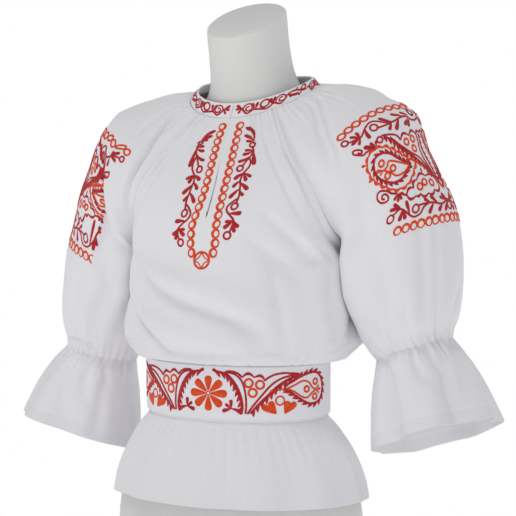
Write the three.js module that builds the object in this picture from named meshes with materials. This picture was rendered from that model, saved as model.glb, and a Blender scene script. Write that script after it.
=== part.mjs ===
// Folk blouse worn by a limbless dress form, with its own embroidered belt.
//
// Millimetres, +Z up, front towards -Y, the wearer's left towards +X. The form stands on its flat
// underside, and the origin is the middle of the whole part's footprint.
//
// Each cloth piece is one closed wall laid over a smooth base surface. A base surface is read from a
// short table of sections: `across` runs from -1 to 1 over the piece and `row` runs down the table.
// Gathers and folds push the wall along the base surface's own normal, so a wall never crosses itself.

import * as THREE from 'three';

// ---------------------------------------------------------------- driving dimensions

const CLOTH = 1.5;              // wall of the cotton panels
const BAND_WALL = 2.4;          // folded neckband
const BELT_WALL = 2.2;          // stiffened belt
const HALF_SEAM = 0.25;         // each piece keeps this back from its seam line
const FIT_GAP = 0.5;            // air between the cloth and the belt

const WAIST = { x: 119.5, front: 88.5, back: 86.5 };   // outside of the cloth under the belt
const BELT = { low: 267, high: 333, lap: 34 };
// Neckband at its lower and its upper edge: half width, reach to the front and to the back of
// y = NECK_Y, and height at NECK_Y. It rises by `slope` for each millimetre of y, less `bend` times
// the square.
const NECK_Y = 55;
const NECK_LOW = { x: 86, front: 77, back: 62, z: 672.3 };
const NECK_TOP = { x: 77, front: 65, back: 51, z: 684.3 };
const NECK_RISE = { slope: 0.263, bend: 0.00232 };
const SHOULDER_TILT = 0.045;    // the left shoulder stands higher: rise for each millimetre of x
const NECK_OPENING = 0.4;       // half of the gap between the neckband's two ends
const SLIT = { end: 4, gape: 1.3, top: 0.3 };   // front slit: its last row and its half widths

const UNDERARM_ROW = 6;         // the row where the raglan seams meet
const ELASTIC_ROW = 12;         // the last sleeve row, at the elastic
const RIGHT_DROP = { out: 32, in: 18 };   // how much lower the right elastic has slipped

const BODY_COLUMNS = 36;
const SLEEVE_COLUMNS = 40;
const FORM_COLUMNS = 32;
const BAND_COLUMNS = 40;
const BELT_COLUMNS = 60;

const RAGLAN_ROWS = [0, 0.5, 1.2, 2, 3, 4, 5, 5.6, 6];
const BODY_ROWS = [...RAGLAN_ROWS, 7, 8.5, 9.7, 10.6, 11.3, 12, 13, 14, 15, 16.1, 17.5, 19];
const SLEEVE_ROWS = [...RAGLAN_ROWS, 7, 8.2, 9.2, 10.2, 11, 11.6, 12];
const FLOUNCE_ROWS = [0, 0.6, 1.5, 2.6, 3.8, 5];

// ---------------------------------------------------------------- tables of sections

const table = (columns, rows) =>
  rows.map(row => Object.fromEntries(columns.map((name, i) => [name, row[i]])));

// Dress form: half width x, front and back reach in y, the y of its widest point, and the lean of
// the section, which is its rise in z for each millimetre of y.
const FORM = table(['z', 'x', 'front', 'back', 'mid', 'lean'], [
  [0, 152, -94, 108, 5, 0],
  [4, 157, -98, 112, 5, 0],
  [50, 163, -101, 117, 5, 0],
  [105, 166, -103, 120, 5, 0],
  [160, 160, -101, 115, 4, 0],
  [215, 141, -93, 101, 3, 0],
  [238, 123, -88, 90, 1, 0],
  [254, 117.2, -86.2, 84.2, 0, 0],
  [346, 117.2, -86.2, 84.2, 0, 0],
  [366, 121, -87.5, 89, 4, 0],
  [400, 128, -94, 100, 12, 0],
  [440, 132, -95, 111, 18, 0],
  [475, 133, -93, 120, 24, 0],
  [515, 135, -82, 128, 33, 0],
  [545, 142, -72, 131, 39, 0],
  [575, 150, -56, 131, 44, 0],
  [603, 154, -39, 125, 48, 0.05],
  [625, 142, -20, 117, 50, 0.12],
  [640, 116, -12, 111, 51, 0.22],
  [650, 87, -8, 108, 51, 0.3],
  [664, 67, -4, 104, 49, 0.34],
  [688, 55, -5, 97, 45, 0.36],
  [722, 51.5, -14, 86, 36, 0.4],
  [757, 51, -22, 79, 28, 0.45],
  [763, 49, -20, 77, 28, 0.47],
  [765.5, 44, -15, 72, 28, 0.47],
]);

// Sleeve: its outermost point (x, z) and the middle between its two edges (x, z); the y of both; its
// reach to the front and to the back of that y; the sweep in degrees from the outermost point to each
// edge; how far its edges are drawn out over the chest; how far its back is turned out and its front
// in; its lean and bend in z over y; and how much flatter the right one lies. From the underarm down
// the sweep is 180 degrees and the section a whole ellipse.
const TUBE_COLUMNS = ['outX', 'outZ', 'inX', 'inZ', 'y', 'front', 'back', 'sweep', 'drawn', 'turn',
  'lean', 'bend', 'slack'];
const SLEEVE = table(TUBE_COLUMNS, [
  [86, 672, 55.3, 672, 55, 77, 62, 50, 0, 0, 0.263, 0.00232, 0],
  [122, 674, 80, 644, 54, 82, 75, 56, 18, 0, 0.23, 0.0012, 0],
  [157, 667, 102, 609, 52, 86, 82, 72, 20, 1, 0.19, 0.0003, 2],
  [190, 651, 121, 573, 50, 86, 86, 95, 20, 2, 0.12, 0, 6],
  [218, 628, 133, 534, 48, 85, 85, 118, 17, 4, 0.06, 0, 14],
  [237, 597, 139, 495, 46, 81, 81, 147, 15, 4, 0.02, 0, 15],
  [256, 562, 145, 464, 45, 79, 79, 180, 0, 5, 0, 0, 14],
  [269, 521, 149, 436, 45, 79, 79, 180, 0, 9, 0, 0, 12],
  [276, 477, 151, 410, 45, 79, 79, 180, 0, 10, 0, 0, 8],
  [278, 433, 154, 385, 45, 76, 76, 180, 0, 8, 0, 0, 6],
  [276, 398, 159, 362, 45, 69, 69, 180, 0, 5, 0, 0, 4],
  [269, 377, 169, 344, 45, 57, 57, 180, 0, 3, -0.03, 0, 2],
  [265, 364, 180, 335, 45, 46, 46, 180, 0, 2, -0.06, 0, 0],
]);

const FLOUNCE = table(TUBE_COLUMNS, [
  [265, 364, 180, 335, 45, 46, 46, 180, 0, 2, -0.06, 0, 0],
  [282, 351, 176, 319, 45, 60, 60, 180, 0, 2, -0.1, 0, 0],
  [297, 333, 174, 296, 45, 69, 69, 180, 0, 2, -0.13, 0, 0],
  [309, 313, 174, 271, 45, 76, 76, 180, 0, 2, -0.16, 0, 0],
  [320, 291, 175, 243, 45, 81, 81, 180, 0, 2, -0.19, 0, 0],
  [330, 268, 177, 214, 45, 85, 85, 180, 0, 2, -0.2, 0, 0],
]);

// Body panels: the centre line (y, z), and the sweep in degrees from it to each edge.
const FRONT = table(['y', 'z', 'sweep'], [
  [-22, 638, 40],
  [-46, 608, 44],
  [-68, 577, 50],
  [-86, 545, 58],
  [-99, 514, 66],
  [-106, 484, 77],
  [-109, 456, 88],
  [-109, 430, 90],
  [-108, 403, 90],
  [-106, 380, 90],
  [-103, 360, 90],
  [-98, 347, 90],
  [-88.5, 338, 90],
  [-88.5, 332, 90],
  [-88.5, 268, 90],
  [-88.5, 262, 90],
  [-98, 240, 90],
  [-106, 213, 90],
  [-112, 185, 90],
  [-116, 160, 90],
]);

const BACK = table(['y', 'z', 'sweep'], [
  [117, 679.4, 40],
  [134, 662, 44],
  [147, 635, 50],
  [155, 601, 58],
  [158, 561, 66],
  [157, 519, 77],
  [153, 480, 88],
  [150, 448, 90],
  [147, 418, 90],
  [146, 390, 90],
  [142, 364, 90],
  [124, 348, 90],
  [86.5, 338, 90],
  [86.5, 332, 90],
  [86.5, 268, 90],
  [86.5, 262, 90],
  [104, 240, 90],
  [117, 213, 90],
  [125, 185, 90],
  [129, 160, 90],
]);

// Side seam, from the underarm to the hem.
const SIDE = table(['x', 'y', 'z'], [
  [145, 45, 464],
  [143, 44, 440],
  [143.5, 42, 415],
  [146, 38, 389],
  [147, 31, 364],
  [137, 14, 348],
  [119.5, 0, 338],
  [119.5, 0, 332],
  [119.5, 0, 268],
  [119.5, 0, 262],
  [137, 2, 240],
  [153, 4, 213],
  [164, 5, 185],
  [169, 5, 160],
]);

// Folds: each runs from one point to another over its piece, and is a ridge (depth above 0) or a
// trough (below 0), `width` millimetres from its middle to where it has mostly faded.
const FOLD_COLUMNS = ['across0', 'row0', 'across1', 'row1', 'width', 'depth'];
const FRONT_FOLDS = table(FOLD_COLUMNS, [
  [-0.78, 1.4, -0.86, 4.6, 10, -3],
  [0.8, 1.6, 0.9, 4.8, 9, -3],
  [0.66, 2.2, 0.78, 5.2, 9, 2.5],
  [-0.6, 5.4, -0.05, 8.2, 17, -4.5],
  [-0.72, 9, -0.3, 11, 9, -4],
  [-0.52, 8.6, -0.12, 10.8, 9, 2.5],
  [0.34, 5, 0.56, 8, 14, -3.5],
  [0.42, 8.4, 0.3, 10.9, 9, -3],
  [0.62, 9.3, 0.12, 10.9, 9, 3.5],
  [0.72, 7.6, 0.66, 10.8, 9, -3],
]);
const BACK_FOLDS = table(FOLD_COLUMNS, [
  [-0.82, 1.3, -0.88, 4.8, 10, -3],
  [0.8, 1.5, 0.86, 4.6, 10, -3],
  [-0.34, 2.4, -0.42, 7.4, 12, -3],
  [0.3, 2.8, 0.36, 8, 12, -3],
  [-0.58, 6.4, -0.34, 10.4, 12, -4],
  [0.6, 6, 0.42, 10.4, 12, -4],
  [-0.1, 7.5, 0.02, 10.6, 11, 3],
  [0.8, 8, 0.7, 10.6, 9, -3],
]);
const SLEEVE_FOLDS = table(FOLD_COLUMNS, [
  [-0.8, 1.2, -0.84, 4.4, 9, -3],
  [0.8, 1.2, 0.84, 4.4, 9, -3],
  [-0.38, 5.6, -0.3, 10.4, 11, -3.5],
  [-0.62, 6.8, -0.5, 10.8, 10, 3],
  [0.24, 6.4, 0.2, 10.6, 11, -3],
  [0.04, 8.2, 0.02, 11, 8, -2.5],
  [0.58, 6.6, 0.44, 10.6, 11, -3.5],
]);
const FOLD_ACROSS_MM = 150;     // millimetres that one unit of `across` is worth to a fold
const FOLD_ROW_MM = 33;         // and one row

// ---------------------------------------------------------------- small helpers

const radians = THREE.MathUtils.degToRad;
const mix = THREE.MathUtils.lerp;
const smooth = (low, high, x) => THREE.MathUtils.smoothstep(x, low, high);

// Catmull-Rom value of every column of a table at a fractional row.
function section(rows, row) {
  const last = rows.length - 1;
  const start = Math.min(Math.floor(Math.max(row, 0)), last - 1);
  const t = row - start;
  const [p0, p1, p2, p3] = [-1, 0, 1, 2].map(k => rows[THREE.MathUtils.clamp(start + k, 0, last)]);
  const blend = name => 0.5 * (2 * p1[name] + (p2[name] - p0[name]) * t
    + (2 * p0[name] - 5 * p1[name] + 4 * p2[name] - p3[name]) * t * t
    + (3 * p1[name] - p0[name] - 3 * p2[name] + p3[name]) * t * t * t);
  return Object.fromEntries(Object.keys(p1).map(name => [name, blend(name)]));
}

// Share of the way from the middle of an elliptic arc (0) to its ends (1), along its axis.
const arcShare = (angle, sweep) => (1 - Math.cos(angle)) / (1 - Math.cos(sweep));

// ---------------------------------------------------------------- base surfaces

const BACK_DRAWN = 0.35;        // share of a sleeve's drawn-out edge at its back

const rise = (slope, bend, y) => slope * y - bend * y * y;

// Sleeve or flounce of one side: across -1 is its front edge, 1 its back edge, and 0 its outermost
// line. The right elastic and all below it hang `slip` times RIGHT_DROP lower.
function tubePoint(rows, side, across, row, slip) {
  const s = section(rows, row);
  const sweep = radians(s.sweep);
  const angle = across * sweep;
  const share = arcShare(angle, sweep);
  const drawn = Math.sign(across) * (across < 0 ? 1 : BACK_DRAWN) * s.drawn * share * share;
  const y = (across < 0 ? s.front : s.back) * Math.sin(angle) + drawn;
  const outX = s.outX - (side < 0 ? s.slack : 0);
  const drop = side < 0 ? slip * mix(RIGHT_DROP.out, RIGHT_DROP.in, share) : 0;
  return new THREE.Vector3(side * (mix(outX, s.inX, share) + s.turn * Math.sin(angle)),
    s.y + y, mix(s.outZ, s.inZ, share) + rise(s.lean, s.bend, y) - drop);
}

// Raises the left shoulder and lowers the right one; the tilt fades out below the underarm.
function tilted(point, row) {
  point.z += SHOULDER_TILT * (1 - smooth(UNDERARM_ROW / 2, UNDERARM_ROW + 2, row)) * point.x;
  return point;
}

const levelSleevePoint = (side, across, row) =>
  tubePoint(SLEEVE, side, across, row, smooth(UNDERARM_ROW, ELASTIC_ROW, row));
const sleevePoint = (side, across, row) => tilted(levelSleevePoint(side, across, row), row);
const flouncePoint = (side, across, row) => tubePoint(FLOUNCE, side, across, row, 1);

// Edge of a body panel: the raglan seam down to the underarm, then the side seam.
function bodyEdge(facing, side, row) {
  if (row <= UNDERARM_ROW) return levelSleevePoint(side, facing, row);
  const s = section(SIDE, row - UNDERARM_ROW);
  return new THREE.Vector3(side * s.x, s.y, s.z);
}

// Body panel: facing -1 is the front and 1 the back; across -1 is its edge at -X and 1 at +X.
function bodyPoint(facing, across, row) {
  const s = section(facing < 0 ? FRONT : BACK, row);
  const edge = bodyEdge(facing, Math.sign(across) || 1, row);
  const sweep = radians(s.sweep);
  const angle = Math.abs(across) * sweep;
  const share = arcShare(angle, sweep);
  return tilted(new THREE.Vector3(edge.x * Math.sin(angle) / Math.sin(sweep),
    mix(s.y, edge.y, share), mix(s.z, edge.z, share)), row);
}

// ---------------------------------------------------------------- gathers and folds

function foldHeight(folds, across, row) {
  let height = 0;
  for (const f of folds) {
    const start = new THREE.Vector2(f.across0 * FOLD_ACROSS_MM, f.row0 * FOLD_ROW_MM);
    const run = new THREE.Vector2(f.across1 * FOLD_ACROSS_MM, f.row1 * FOLD_ROW_MM).sub(start);
    const from = new THREE.Vector2(across * FOLD_ACROSS_MM, row * FOLD_ROW_MM).sub(start);
    const along = THREE.MathUtils.clamp(from.dot(run) / run.lengthSq(), 0, 1);
    const away = from.sub(run.multiplyScalar(along)).length() / f.width;
    height += f.depth * Math.exp(-away * away) * Math.sin(Math.PI * mix(0.12, 0.88, along));
  }
  return height;
}

// Gathers under the neckband: `count` of them, of uneven depth and reach.
function neckGathers(count, depth, seed, across, row) {
  const reach = 2.7 + Math.sin(5.1 * across + seed) + 0.6 * Math.sin(11 * across + 2 * seed);
  const uneven = 1 + 0.35 * Math.sin(9 * across + seed);
  const fade = 1 - smooth(0.35 * reach, reach, row);
  return depth * uneven * (0.75 + 0.45 * smooth(0, 1, row)) * fade * Math.cos(count * Math.PI * across);
}

const NECK_DEPTH = 1.3;
const BODY_GATHERS = BODY_COLUMNS / 2;
const SLEEVE_GATHERS = SLEEVE_COLUMNS / 2;
const ELASTIC_DEPTH = 2;
const HEM_WAVES = 6;
const HEM_DEPTH = 9;
const TAIL_PLEATS = BODY_COLUMNS / 6;
const SIDE_FADE = 0.07;         // share of the half width over which folds fade to a seam

const atSeam = across => smooth(0, SIDE_FADE, 1 - Math.abs(across));

function bodyHeight(facing, across, row) {
  const front = facing < 0;
  const flatMiddle = front ? smooth(0.34, 0.5, Math.abs(across)) : 1;   // the embroidered middle
  const seed = front ? 0.4 : 2.1;
  const gathers = neckGathers(BODY_GATHERS, NECK_DEPTH, seed, across, row) * flatMiddle;
  const folds = foldHeight(front ? FRONT_FOLDS : BACK_FOLDS, across, row);
  const overBelt = smooth(9.4, 10.9, row) * (1 - smooth(11.2, 12, row));
  const tucks = 1.8 * overBelt * Math.cos(BODY_GATHERS * Math.PI * across) * (front ? 0.6 : 1);
  const tail = smooth(15.2, 18, row) * 3.2 * Math.cos(TAIL_PLEATS * Math.PI * across + seed);
  return atSeam(across) * (gathers + folds * (1 - smooth(11, 12, row)) + tucks + tail);
}

// Height at the elastic, shared by the end of the sleeve and the start of the flounce.
const elasticHeight = across =>
  ELASTIC_DEPTH * (1 + 0.25 * Math.sin(2 * Math.PI * across)) * Math.cos(SLEEVE_GATHERS * Math.PI * across);

function sleeveHeight(side, across, row) {
  const seed = side < 0 ? 1.3 : 3.7;
  const neck = neckGathers(SLEEVE_GATHERS, 1, seed, across, row);
  const folds = foldHeight(SLEEVE_FOLDS, side < 0 ? -0.9 * across : across, row);
  const elastic = elasticHeight(across) * smooth(9, ELASTIC_ROW, row);
  return atSeam(across) * (neck + folds * (1 - smooth(10.6, 11.8, row)) + elastic);
}

function flounceHeight(side, across, row) {
  const seed = side < 0 ? 0.8 : 2.2;
  const last = FLOUNCE.length - 1;
  const uneven = 1 + 0.3 * Math.sin(Math.PI * across + seed);
  const phase = HEM_WAVES * Math.PI * across + seed + 0.6 * Math.sin(2 * Math.PI * across);
  const wave = Math.cos(phase) - 0.25 * Math.cos(2 * phase);
  return elasticHeight(across) * (1 - smooth(0.4, 2.4, row))
    + HEM_DEPTH * uneven * smooth(0.3, last, row) * wave;
}

// ---------------------------------------------------------------- walls

// Outward normal of a base surface. `out` is 1 or -1 and turns the cross product outwards.
function baseNormal(surface, across, row, rowEnd, out) {
  const step = 0.01;
  const [a0, a1] = [Math.max(across - step, -1), Math.min(across + step, 1)];
  const [r0, r1] = [Math.max(row - step, 0), Math.min(row + step, rowEnd)];
  const alongAcross = surface(a1, row).sub(surface(a0, row));
  const alongRow = surface(across, r1).sub(surface(across, r0));
  return alongAcross.cross(alongRow).normalize().multiplyScalar(out);
}

// Direction in the surface that points from an edge into the piece.
function intoPiece(surface, across, row) {
  const inside = across * 0.98;
  return surface(inside, row).sub(surface(across, row)).normalize();
}

// Closes an outer and an inner grid of points into a wall. `corner(i, j, quadColumn)` names the
// point that the quad right of quadColumn uses at row i, column j. The rims are split from the outer
// point of the later row, so that two pieces that face each other over a seam are split alike.
function closeWall(outer, inner, rows, columns, corner) {
  const quads = [];
  for (let i = 0; i < rows; i += 1) {
    for (let j = 0; j < columns; j += 1) {
      quads.push([corner(i, j, j), corner(i + 1, j, j), corner(i + 1, j + 1, j), corner(i, j + 1, j)]);
    }
  }
  const count = outer.length;
  const index = [];
  const edges = new Map();
  for (const [a, b, c, d] of quads) {
    index.push(a, b, c, a, c, d);
    index.push(count + a, count + c, count + b, count + a, count + d, count + c);
    for (const [p, q] of [[a, b], [b, c], [c, d], [d, a]]) edges.set(`${p},${q}`, [p, q]);
  }
  for (const [p, q] of edges.values()) {
    if (edges.has(`${q},${p}`)) continue;
    if (p < q) index.push(q, p, count + p, q, count + p, count + q);
    else index.push(q, p, count + q, p, count + p, count + q);
  }
  const used = [...new Set(index)];
  const rename = new Map(used.map((old, k) => [old, k]));
  const points = [...outer, ...inner];
  const geometry = new THREE.BufferGeometry();
  geometry.setAttribute('position', new THREE.Float32BufferAttribute(
    used.flatMap(k => points[k].toArray()), 3));
  geometry.setIndex(index.map(k => rename.get(k)));
  return geometry;
}

function turnOutwards(geometry) {
  const p = geometry.attributes.position;
  const index = geometry.index.array;
  const [a, b, c] = [new THREE.Vector3(), new THREE.Vector3(), new THREE.Vector3()];
  let volume = 0;
  for (let k = 0; k < index.length; k += 3) {
    a.fromBufferAttribute(p, index[k]);
    b.fromBufferAttribute(p, index[k + 1]);
    c.fromBufferAttribute(p, index[k + 2]);
    volume += a.dot(b.cross(c));
  }
  if (volume < 0) {
    for (let k = 0; k < index.length; k += 3) [index[k], index[k + 1]] = [index[k + 1], index[k]];
  }
  return geometry;
}

// A cloth piece: surface(across, row) is its base, normal(across, row) the direction in which its
// folds stand out and its wall is built, and height(across, row) its gathers and folds. `closed`
// joins its two side edges into a tube, and `trim` is the share of a row cut off each end.
function clothPiece({ surface, normal, height, rows, columns, closed, slit, trim }) {
  const outer = [];
  const inner = [];
  const place = (across, i) => {
    const row = rows[i] + (i === 0 ? trim.start : 0) - (i === rows.length - 1 ? trim.end : 0);
    const through = normal(across, rows[i]);
    const point = surface(across, row).addScaledVector(through, height(across, row));
    if (Math.abs(across) === 1 && !closed) {
      point.addScaledVector(intoPiece(surface, across, row), HALF_SEAM);
      point.addScaledVector(normal(across * 0.99, row), -HALF_SEAM);
    }
    outer.push(point);
    inner.push(point.clone().addScaledVector(through, -CLOTH));
  };
  const width = closed ? columns : columns + 1;
  for (let i = 0; i < rows.length; i += 1) {
    for (let j = 0; j < width; j += 1) place(-1 + 2 * j / columns, i);
  }
  const middle = columns / 2;
  const copies = slit ? rows.filter(row => row < slit.end).length : 0;
  for (let i = 0; i < copies; i += 1) {
    place(0, i);
    const gape = mix(slit.top, slit.gape, smooth(0.35, 0.8, rows[i] / slit.end));
    for (const points of [outer, inner]) {
      points[i * width + middle].x -= gape;
      points[rows.length * width + i].x += gape;
    }
  }
  const corner = (i, j, quadColumn) => {
    if (i < copies && j === middle && quadColumn >= middle) return rows.length * width + i;
    return i * width + (j % width);
  };
  return turnOutwards(closeWall(outer, inner, rows.length - 1, columns, corner));
}

// Solid loft through closed rings of points, with both ends closed to their middles.
function solidLoft(rings) {
  const size = rings[0].length;
  const points = rings.flat();
  const index = [];
  for (let i = 0; i < rings.length - 1; i += 1) {
    for (let j = 0; j < size; j += 1) {
      const k = (j + 1) % size;
      const [a, b, c, d] = [i * size + j, i * size + k, (i + 1) * size + k, (i + 1) * size + j];
      index.push(a, b, c, a, c, d);
    }
  }
  const addCap = (first, flip) => {
    const middle = points.slice(first, first + size)
      .reduce((sum, p) => sum.add(p), new THREE.Vector3()).divideScalar(size);
    points.push(middle);
    for (let j = 0; j < size; j += 1) {
      const [a, b] = [first + j, first + (j + 1) % size];
      index.push(points.length - 1, flip ? b : a, flip ? a : b);
    }
  };
  addCap(0, true);
  addCap((rings.length - 1) * size, false);
  const geometry = new THREE.BufferGeometry();
  geometry.setAttribute('position', new THREE.Float32BufferAttribute(
    points.flatMap(p => p.toArray()), 3));
  geometry.setIndex(index);
  return turnOutwards(geometry);
}

// ---------------------------------------------------------------- wall directions

const BODY_END = FRONT.length - 1;
const FLOUNCE_END = FLOUNCE.length - 1;
const UNDERARM_DIRECTION = new THREE.Vector3(0, 0, -1);

const bodyOf = facing => (across, row) => bodyPoint(facing, across, row);
const sleeveOf = side => (across, row) => sleevePoint(side, across, row);
const flounceOf = side => (across, row) => flouncePoint(side, across, row);

const bodyBase = (facing, across, row) => baseNormal(bodyOf(facing), across, row, BODY_END, facing);
const sleeveBase = (side, across, row) => baseNormal(sleeveOf(side), across, row, ELASTIC_ROW, -side);
const flounceBase = (side, across, row) => baseNormal(flounceOf(side), across, row, FLOUNCE_END, -side);

// Two pieces that meet at a seam build their walls there in one shared direction.
function raglanNormal(facing, side, row) {
  if (row === UNDERARM_ROW) return UNDERARM_DIRECTION.clone();
  return bodyBase(facing, side, row).add(sleeveBase(side, facing, row)).normalize();
}

function bodyNormal(facing, across, row) {
  if (Math.abs(across) < 1) return bodyBase(facing, across, row);
  if (row <= UNDERARM_ROW) return raglanNormal(facing, across, row);
  return bodyBase(-1, across, row).add(bodyBase(1, across, row)).normalize();
}

const elasticNormal = (side, across) =>
  sleeveBase(side, across, ELASTIC_ROW).add(flounceBase(side, across, 0)).normalize();

function sleeveNormal(side, across, row) {
  if (row === ELASTIC_ROW) return elasticNormal(side, across);
  if (Math.abs(across) < 1) return sleeveBase(side, across, row);
  if (row <= UNDERARM_ROW) return raglanNormal(across, side, row);
  return sleeveBase(side, -1, row).add(sleeveBase(side, 1, row)).normalize();
}

const flounceNormal = (side, across, row) =>
  (row === 0 ? elasticNormal(side, across) : flounceBase(side, across, row));

// ---------------------------------------------------------------- pieces

const ROW_TRIM = 0.02;          // of a row, about 0.6 mm: keeps a piece's ends off its neighbours

const bodyPanel = facing => clothPiece({
  surface: bodyOf(facing),
  normal: (across, row) => bodyNormal(facing, across, row),
  height: (across, row) => bodyHeight(facing, across, row),
  rows: BODY_ROWS,
  columns: BODY_COLUMNS,
  slit: facing < 0 ? SLIT : null,
  trim: { start: ROW_TRIM, end: 0 },
});

const sleeve = side => clothPiece({
  surface: sleeveOf(side),
  normal: (across, row) => sleeveNormal(side, across, row),
  height: (across, row) => sleeveHeight(side, across, row),
  rows: SLEEVE_ROWS,
  columns: SLEEVE_COLUMNS,
  trim: { start: ROW_TRIM, end: ROW_TRIM },
});

const flounce = side => clothPiece({
  surface: flounceOf(side),
  normal: (across, row) => flounceNormal(side, across, row),
  height: (across, row) => flounceHeight(side, across, row),
  rows: FLOUNCE_ROWS,
  columns: SLEEVE_COLUMNS,
  closed: true,
  trim: { start: ROW_TRIM, end: 0 },
});

// Open strip that runs round the neck from one side of the front opening to the other.
function neckband() {
  const start = NECK_OPENING / NECK_LOW.front;
  const ring = (share, angle, inwards) => {
    const at = name => mix(NECK_TOP[name], NECK_LOW[name], share);
    const reach = at(Math.cos(angle) > 0 ? 'front' : 'back') - inwards;
    const y = -reach * Math.cos(angle);
    const x = (at('x') - inwards) * Math.sin(angle);
    return new THREE.Vector3(x, NECK_Y + y,
      at('z') + rise(NECK_RISE.slope, NECK_RISE.bend, y) + SHOULDER_TILT * x);
  };
  const outer = [];
  const inner = [];
  for (const share of [0, 0.5, 1]) {
    for (let j = 0; j <= BAND_COLUMNS; j += 1) {
      const angle = mix(start, 2 * Math.PI - start, j / BAND_COLUMNS);
      outer.push(ring(share, angle, 0));
      inner.push(ring(share, angle, BAND_WALL));
    }
  }
  const corner = (i, j) => i * (BAND_COLUMNS + 1) + j;
  return turnOutwards(closeWall(outer, inner, 2, BAND_COLUMNS, corner));
}

// Belt: one strip round the waist. Past the centre back it steps out by its own wall and laps over
// its start.
function belt() {
  const lapAngle = BELT.lap / WAIST.back;
  const stepAngle = 0.25;
  const outer = [];
  const inner = [];
  for (const z of [BELT.high, BELT.low]) {
    for (let j = 0; j <= BELT_COLUMNS; j += 1) {
      const turned = mix(0, 2 * Math.PI + lapAngle, j / BELT_COLUMNS);
      const step = smooth(2 * Math.PI - stepAngle, 2 * Math.PI - 0.04, turned) * (BELT_WALL + FIT_GAP);
      const angle = turned - lapAngle / 2;
      const at = gap => {
        const depth = (Math.cos(angle) > 0 ? WAIST.back : WAIST.front) + gap;
        return new THREE.Vector3((WAIST.x + gap) * Math.sin(angle), depth * Math.cos(angle), z);
      };
      outer.push(at(FIT_GAP + step + BELT_WALL));
      inner.push(at(FIT_GAP + step));
    }
  }
  const corner = (i, j) => i * (BELT_COLUMNS + 1) + j;
  return turnOutwards(closeWall(outer, inner, 1, BELT_COLUMNS, corner));
}

const TILT_LOW = 440;           // heights between which the form takes on the tilt of its shoulders
const TILT_HIGH = 600;

function dressForm() {
  const rings = FORM.map(s => {
    const ring = [];
    for (let j = 0; j < FORM_COLUMNS; j += 1) {
      const angle = 2 * Math.PI * j / FORM_COLUMNS;
      const reach = Math.cos(angle) > 0 ? s.back - s.mid : s.mid - s.front;
      const x = s.x * Math.sin(angle);
      const y = reach * Math.cos(angle);
      const tilt = SHOULDER_TILT * smooth(TILT_LOW, TILT_HIGH, s.z);
      ring.push(new THREE.Vector3(x, s.mid + y, s.z + s.lean * y + tilt * x));
    }
    return ring;
  });
  return solidLoft(rings);
}

// ---------------------------------------------------------------- the part

const cotton = () => new THREE.MeshStandardMaterial({ color: 0xe4e4e8, roughness: 0.85, metalness: 0 });
const MATERIALS = {
  cotton,
  neckband: () => new THREE.MeshStandardMaterial({ color: 0xc9474b, roughness: 0.8, metalness: 0 }),
  belt: () => new THREE.MeshStandardMaterial({ color: 0xe6b0a4, roughness: 0.8, metalness: 0 }),
  form: () => new THREE.MeshStandardMaterial({ color: 0xdcdcda, roughness: 0.5, metalness: 0 }),
};

const PIECES = {
  dress_form: [dressForm(), MATERIALS.form()],
  front: [bodyPanel(-1), MATERIALS.cotton()],
  back: [bodyPanel(1), MATERIALS.cotton()],
  sleeve_left: [sleeve(1), MATERIALS.cotton()],
  sleeve_right: [sleeve(-1), MATERIALS.cotton()],
  flounce_left: [flounce(1), MATERIALS.cotton()],
  flounce_right: [flounce(-1), MATERIALS.cotton()],
  neckband: [neckband(), MATERIALS.neckband()],
  belt: [belt(), MATERIALS.belt()],
};

const part = new THREE.Group();
for (const [name, [geometry, material]] of Object.entries(PIECES)) {
  const mesh = new THREE.Mesh(geometry, material);
  mesh.name = name;
  part.add(mesh);
}

// The origin is the middle of the footprint.
const middle = new THREE.Box3().setFromObject(part).getCenter(new THREE.Vector3());
for (const mesh of part.children) mesh.position.set(-middle.x, -middle.y, 0);

export default part;
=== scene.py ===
"""Folk blouse on a dress form: the looks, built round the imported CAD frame.

The cloth is worked out from the same sections as its solids, and gets its finer gathers, creases,
hems, stitches and embroidery here. Lengths are millimetres in the part's own frame, in which the
form stands over the origin. `to_row` turns them into metres of the shared frame.
"""

import math

import bmesh
import bpy
import numpy as np
from mathutils import Matrix, Vector


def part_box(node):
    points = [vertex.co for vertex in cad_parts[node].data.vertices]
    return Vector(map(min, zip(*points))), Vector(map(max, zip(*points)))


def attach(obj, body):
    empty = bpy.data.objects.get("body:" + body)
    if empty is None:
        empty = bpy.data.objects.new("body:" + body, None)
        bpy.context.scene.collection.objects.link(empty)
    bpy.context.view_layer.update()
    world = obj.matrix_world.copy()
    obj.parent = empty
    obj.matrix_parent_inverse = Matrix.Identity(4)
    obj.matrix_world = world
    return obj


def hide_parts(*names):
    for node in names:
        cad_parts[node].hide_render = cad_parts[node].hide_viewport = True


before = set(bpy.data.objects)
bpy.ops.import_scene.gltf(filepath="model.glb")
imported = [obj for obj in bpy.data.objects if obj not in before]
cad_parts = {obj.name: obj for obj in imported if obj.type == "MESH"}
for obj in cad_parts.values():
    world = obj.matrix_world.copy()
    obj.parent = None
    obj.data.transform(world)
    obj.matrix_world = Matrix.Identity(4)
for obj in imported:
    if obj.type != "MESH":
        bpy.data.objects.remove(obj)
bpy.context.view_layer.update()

# ---------------------------------------------------------------- driving dimensions

COTTON_THICKNESS = 0.9          # cotton with its turned edges, thinner than its solid
BELT_WALL = 2.2                 # the folded belt and neckband
BAND_WALL = 2.4
FIT_GAP = 0.5                   # air between the cloth and the belt

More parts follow.
